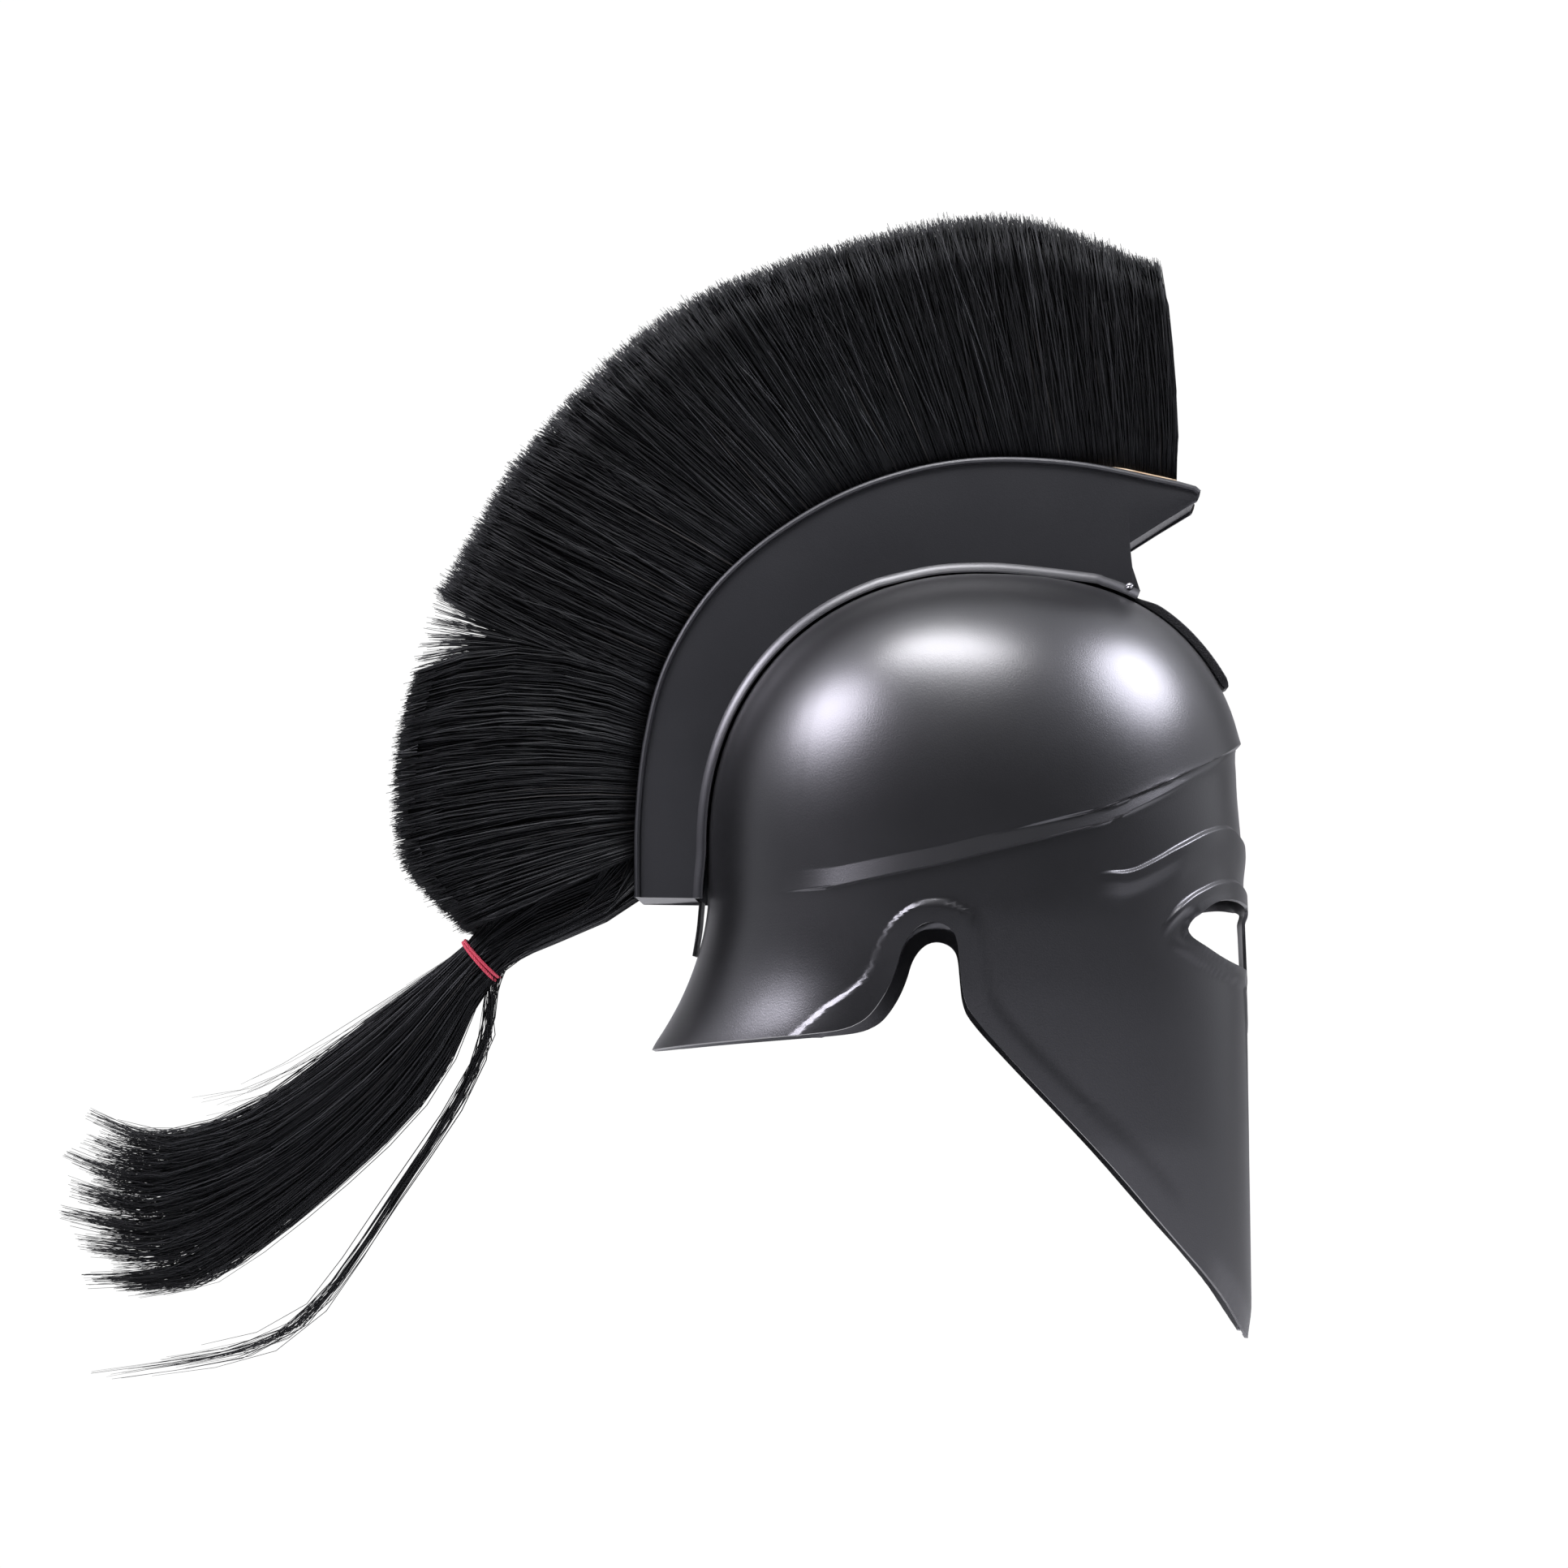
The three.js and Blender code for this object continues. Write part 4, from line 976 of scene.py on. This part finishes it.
for name, rear, (start, stop), open_ends, count, nodes_replaced in PLUME_PARTS:
    last_row = 3 if rear else 5
    # The core is a wedge a little inside the strands.
    bm = bmesh.new()
    places = np.linspace(start, stop, 40)
    spots = []
    for place in places:
        sides = [(-CORE_SIDE, r) for r in np.linspace(0, CORE_REACH, 7)]
        sides += [(s, CORE_TOP) for s in (-0.5, 0, 0.5)]
        sides += [(CORE_SIDE, r) for r in np.linspace(CORE_REACH, 0, 7)]
        spots.append([hair_way(place, s, r, rear) for s, r in sides])
    loft(bm, spots)
    bmesh.ops.recalc_face_normals(bm, faces=bm.faces)
    # The core's dark colour is painted shade as well as the hair's own black.
    core = into_object(f"{name}_core", bm, hair_core_painted_shade)

    brush = strand_mesh(name, count, STRAND_STEPS)
    place = rng.uniform(start, stop, count)
    side = rng.uniform(-1, 1, count)
    side = np.sign(side) * abs(side) ** 0.45
    for i, end in enumerate(open_ends):
        # Strands all across an end of the brush.
        these = slice(-END_STRANDS * (i + 1), -END_STRANDS * i or None)
        inwards = np.sign(start + stop - 2 * end)
        place[these] = end + inwards * abs(rng.normal(0, 0.02, END_STRANDS))
        side[these] = rng.uniform(-1, 1, END_STRANDS)
    # Strands draw together into locks towards their tips.
    lock = np.floor(place * LOCKS + 0.4 * rng.standard_normal(count))
    lock_middle = (lock + 0.5) / LOCKS + 0.01 * np.sin(lock * 12.9898 + side * 3)
    lock_reach = 0.008 * np.sin(lock * 78.233) + 0.006 * np.sin(lock * 3.1 + side * 7)
    length = 0.992 + lock_reach - abs(rng.normal(0, 0.008, count))
    length = length - 0.25 * (rng.random(count) < 0.04)
    share = np.linspace(0, 1, STRAND_STEPS + 1)[None]
    drawn = place[:, None] + 0.45 * (lock_middle - place)[:, None] * share**2
    drawn = drawn + rng.normal(0, 0.085, count)[:, None] * share**1.2
    drawn = np.clip(drawn, 0, last_row)
    reached = share * length[:, None]
    side_way = side[:, None] * np.ones_like(share) + rng.normal(0, 0.05, count)[:, None] * share
    paths = hair_way(drawn, side_way, reached, rear)
    if rear:
        # Sparse strands lie in the parting, between the two parts of the brush.
        few = slice(0, PARTING_STRANDS)
        tuft = (rng.integers(0, PARTING_TUFTS, PARTING_STRANDS) + 0.5) / PARTING_TUFTS
        tuft = tuft + rng.normal(0, 0.02, PARTING_STRANDS)
        over = np.clip(tuft, 0, 1)[:, None, None] * np.ones_like(paths[few])
        level = np.full_like(reached[few], UPPER_ROWS - 1)
        upper = hair_way(level, side_way[few], reached[few], False)
        lower = hair_way(0 * level, side_way[few], reached[few], True)
        paths[few] = upper + over * (lower - upper)
    swing = np.sin(share * rng.uniform(3, 8, (count, 1)) + rng.uniform(0, 6.28, (count, 1)))
    wave = rng.normal(0, 1.1, (count, 1, 3)) * (swing * share)[..., None]
    paths = paths + wave
    tones = np.clip(0.35 + 0.08 * np.sin(lock * 5.7) + rng.normal(0, 0.22, count), 0, 1)
    tones = np.where(rng.random(count) < 0.012, 1.0, tones * 0.8)
    comb(brush, paths, rng.uniform(0.22, 0.42, count), tones)
    # Short tips fill the trimmed face between the strands of the two sides.
    few = int(TRIM_SHARE * count)
    trim = strand_mesh(f"{name}_trim", few, 2)
    place, side = rng.uniform(start, stop, few), rng.uniform(-1, 1, few)
    share = np.linspace(0, 1, 3)[None]
    reached = 0.9 + (0.095 - abs(rng.normal(0, 0.01, few)))[:, None] * share
    drawn = np.clip(place[:, None] + rng.normal(0, 0.03, few)[:, None] * share, 0, last_row)
    paths = hair_way(drawn, side[:, None] * np.ones_like(share), reached, rear)
    comb(trim, paths, rng.uniform(0.35, 0.65, few), 0.8 * np.clip(rng.normal(0.4, 0.2, few), 0, 1))
    joined(brush, trim)
    joined(brush, core)
    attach(brush, "root")
    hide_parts(*nodes_replaced)

# ---- Plume tail ---------------------------------------------------------------------------------
# Longer hair from the nape end of the crest, gathered by the elastic and hanging loose behind it
# in locks that curl up at their tips, with one thin wisp under them.
GATHER = [(-143.6, -128), (-156, -133), (-170, -141), (-193, -150.5), (-215.7, -164.2)]
TAIL_LOCKS = [
    # x, z, half height, half width at each place along a lock
    [(-222, -169, 4.5, 6), (-262, -196, 9, 8), (-312, -231, 9, 8), (-358, -243, 6, 6),
     (-393, -230, 3, 3)],
    [(-222, -171, 4.5, 6), (-258, -206, 9, 9), (-310, -245, 10, 9), (-362, -262, 7, 6),
     (-404, -250, 3, 3)],
    [(-220, -174, 4.5, 6), (-250, -214, 9, 9), (-296, -256, 10, 9), (-352, -284, 8, 6),
     (-403, -279, 3, 3)],
    [(-218, -176, 4.5, 6), (-236, -214, 7, 8), (-273, -252, 9, 8), (-335, -298, 8, 6),
     (-391, -304, 3, 3)],
]
WISP = [
    (-211, -172, 2, 2), (-211.4, -194.8, 2.2, 1.6), (-225.6, -226.2, 2, 1.4),
    (-248.9, -261.4, 1.4, 1.4), (-285.5, -314, 1.6, 1.6), (-316.4, -331.4, 1.4, 1.4),
    (-388, -343.5, 1.2, 1.2),
]
TAIL_STRANDS = {"wisp": 46, "stray": 46, "mass": 2228}
THICKNESS = {"wisp": (0.15, 0.3), "stray": (0.12, 0.2), "mass": (0.2, 0.36)}  # their radii
TAIL_STEPS = 12
GATHER_TALL = [(0, 0), (9, 18), (9.6, 22), (9.6, 18), (8.2, 8.8)]  # under and over its middle
GATHER_WIDE = [9.5, 10.5, 11, 10.5, 7.6]
FRAYS = 30
TIPS = 7  # small locks that the tail frays into
tail_paths, tail_tones, tail_radii = [], [], []


def gathered(across, sideways):
    """The way of a strand from the crest to the elastic: across is -1 under it and 1 over it."""
    spot = root_line[int((0.012 + 0.1 * (across + 1)) * 399)]
    points = [(spot[0], sideways * GATHER_WIDE[0], spot[1])]
    for i, (x, z) in enumerate(GATHER[1:], 1):
        tall = GATHER_TALL[i][int(across > 0)]
        lean = (-0.35, 0.94) if i < 3 else (-0.6, 0.8)
        round_off = np.sqrt(1 - (0.24 * i * across) ** 2)
        points.append((x + lean[0] * across * tall, sideways * GATHER_WIDE[i] * round_off,
                       z + lean[1] * across * tall))
    return points


def loose(rows, u, w, drift):
    """The way of a strand beyond the elastic along rows of x, z, half height and half width."""
    points = []
    for i, (x, z, tall, wide) in enumerate(rows[1:], 1):
        way = rows[min(i + 1, len(rows) - 1), :2] - rows[i - 1, :2]
        way /= np.linalg.norm(way)
        mix = i / (len(rows) - 1)
        a, b = u + drift[0] * mix, w + drift[1] * mix
        points.append((x + way[1] * a * tall, b * wide, z - way[0] * a * tall))
    return points


locks = np.array(TAIL_LOCKS, float)
wisp = np.array(WISP, float)
for kind in [kind for kind, count in TAIL_STRANDS.items() for _ in range(count)]:
    u, w = rng.uniform(-1, 1, 2)
    while u * u + w * w > 1:
        u, w = rng.uniform(-1, 1, 2)
    drift = rng.normal(0, 0.2, 2)
    if kind == "wisp":
        in_tie = -0.8
        points = gathered(in_tie, w) + [
            tuple(np.add(spot, rng.normal(0, 0.7, 3))) for spot in loose(wisp, u, w, 6 * drift)
        ]
        cut = rng.uniform(0.8, 1)
    else:
        # Between the lines of the four locks, drawn to one of the small locks at its tip.
        level = rng.uniform(0, 0.05) if kind == "stray" else rng.uniform(0, 1)
        small = np.floor(level * TIPS) / (TIPS - 1)
        fray = np.floor(level * FRAYS)
        uneven = 0.03 * np.sin(23 * fray) + rng.normal(0, 0.022)
        tip = uneven + 0.4 * small + 0.6 * (fray + 0.5) / FRAYS + (0.06 if level > 0.8 else -0.03)
        rows = []
        for i in range(locks.shape[1]):
            pull = 0.9 * max(0, (i - 1) / (locks.shape[1] - 2))
            at = (level + pull * (tip - level)) * (len(locks) - 1)
            first = min(max(int(at), 0), len(locks) - 2)
            row = locks[first, i] + (at - first) * (locks[first + 1, i] - locks[first, i])
            row[2] *= 0.8 - 0.5 * pull
            rows.append(row)
        in_tie = np.clip(0.9 - 1.8 * level + 0.25 * u, -1, 1)
        points = gathered(in_tie, w) + loose(np.array(rows), u, w, drift)
        cut = 1 - 0.06 * abs(np.sin(37 * fray)) - abs(rng.normal(0, 0.05))
        if kind == "stray":
            cut = rng.uniform(0.5, 0.8)
            # A stray hair leaves the tail upwards, some way past the elastic.
            off, lag = rng.uniform(0.2, 1), rng.uniform(4, 4.6)
            points = [(x - 4 * off * max(0, i - lag), y, z + 7.5 * off * max(0, i - lag))
                      for i, (x, y, z) in enumerate(points)]
    line = smooth_line(points, 80, 0.4)
    tail_paths.append(spaced(line[: int(80 * cut)], TAIL_STEPS + 1))
    tail_tones.append(0.8 * np.clip(rng.normal(0.35, 0.2), 0, 1) if rng.random() > 0.02 else 1)
    tail_radii.append(rng.uniform(*THICKNESS[kind]))
tail_paths = np.array(tail_paths)
tail_hair = strand_mesh("plume_tail_hair", len(tail_paths), TAIL_STEPS)
comb(tail_hair, tail_paths, np.array(tail_radii), np.array(tail_tones))
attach(tail_hair, "root")
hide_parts("plume_tail")

# ---- Tie ----------------------------------------------------------------------------------------
# A thin red elastic cord, wound twice round the gathered hair, which holds it by its own pull.
# It is rubber covered with braided thread.
TIE_AT = np.array([-215.7, 0, -164.2])
TIE_TALL, TIE_WIDE = 10.9, 9.2  # half sizes of a turn
CORD = 0.75  # radius of the elastic
lean = np.radians(42)
along_hair = np.array([-np.cos(lean), 0, -np.sin(lean)])
across_hair = np.array([np.sin(lean), 0, -np.cos(lean)])
bm = bmesh.new()
for shift in (-CORD, CORD):
    turns = np.linspace(0, 2 * np.pi, 60, endpoint=False)
    ring = (TIE_AT + np.cos(turns)[:, None] * across_hair * TIE_TALL
            + np.sin(turns)[:, None] * np.array([0, TIE_WIDE, 0])
            + (shift + 0.3 * np.sin(turns + shift))[:, None] * along_hair)
    centre_way = ring - TIE_AT
    centre_way /= np.linalg.norm(centre_way, axis=1)[:, None]
    cord = []
    for spot, out in zip(ring, centre_way):
        cord.append([spot + CORD * (np.cos(a) * out + np.sin(a) * along_hair)
                     for a in np.linspace(0, 2 * np.pi, 8, endpoint=False)])
    cord.append(cord[0])
    before = set(bm.verts)
    loft(bm, cord)
    fresh = [v for v in bm.verts if v not in before]
    caps = [f for f in bm.faces if len(f.verts) == 8 and f.verts[0] not in before]
    bmesh.ops.delete(bm, geom=caps, context="FACES_ONLY")
    bmesh.ops.remove_doubles(bm, verts=fresh, dist=1e-4)
bmesh.ops.recalc_face_normals(bm, faces=bm.faces)
red_elastic, nodes, links, shader = material("red_elastic", Roughness=0.6)
where = nodes.new("ShaderNodeTexCoord")
threads = nodes.new("ShaderNodeTexWave")
threads.inputs["Scale"].default_value = 500
threads.inputs["Distortion"].default_value = 2
reds = nodes.new("ShaderNodeValToRGB")
reds.color_ramp.elements[0].color = (0.42, 0.02, 0.05, 1)
reds.color_ramp.elements[1].color = (0.75, 0.08, 0.14, 1)
weave = nodes.new("ShaderNodeBump")
weave.inputs["Distance"].default_value = 0.0002
links.new(where.outputs["Object"], threads.inputs["Vector"])
links.new(threads.outputs["Fac"], reds.inputs["Fac"])
links.new(reds.outputs["Color"], shader.inputs["Base Color"])
links.new(threads.outputs["Fac"], weave.inputs["Height"])
links.new(weave.outputs["Normal"], shader.inputs["Normal"])
tie = finished(into_object("tie_elastic", bm, red_elastic))
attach(tie, "root")
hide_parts("tie_band")
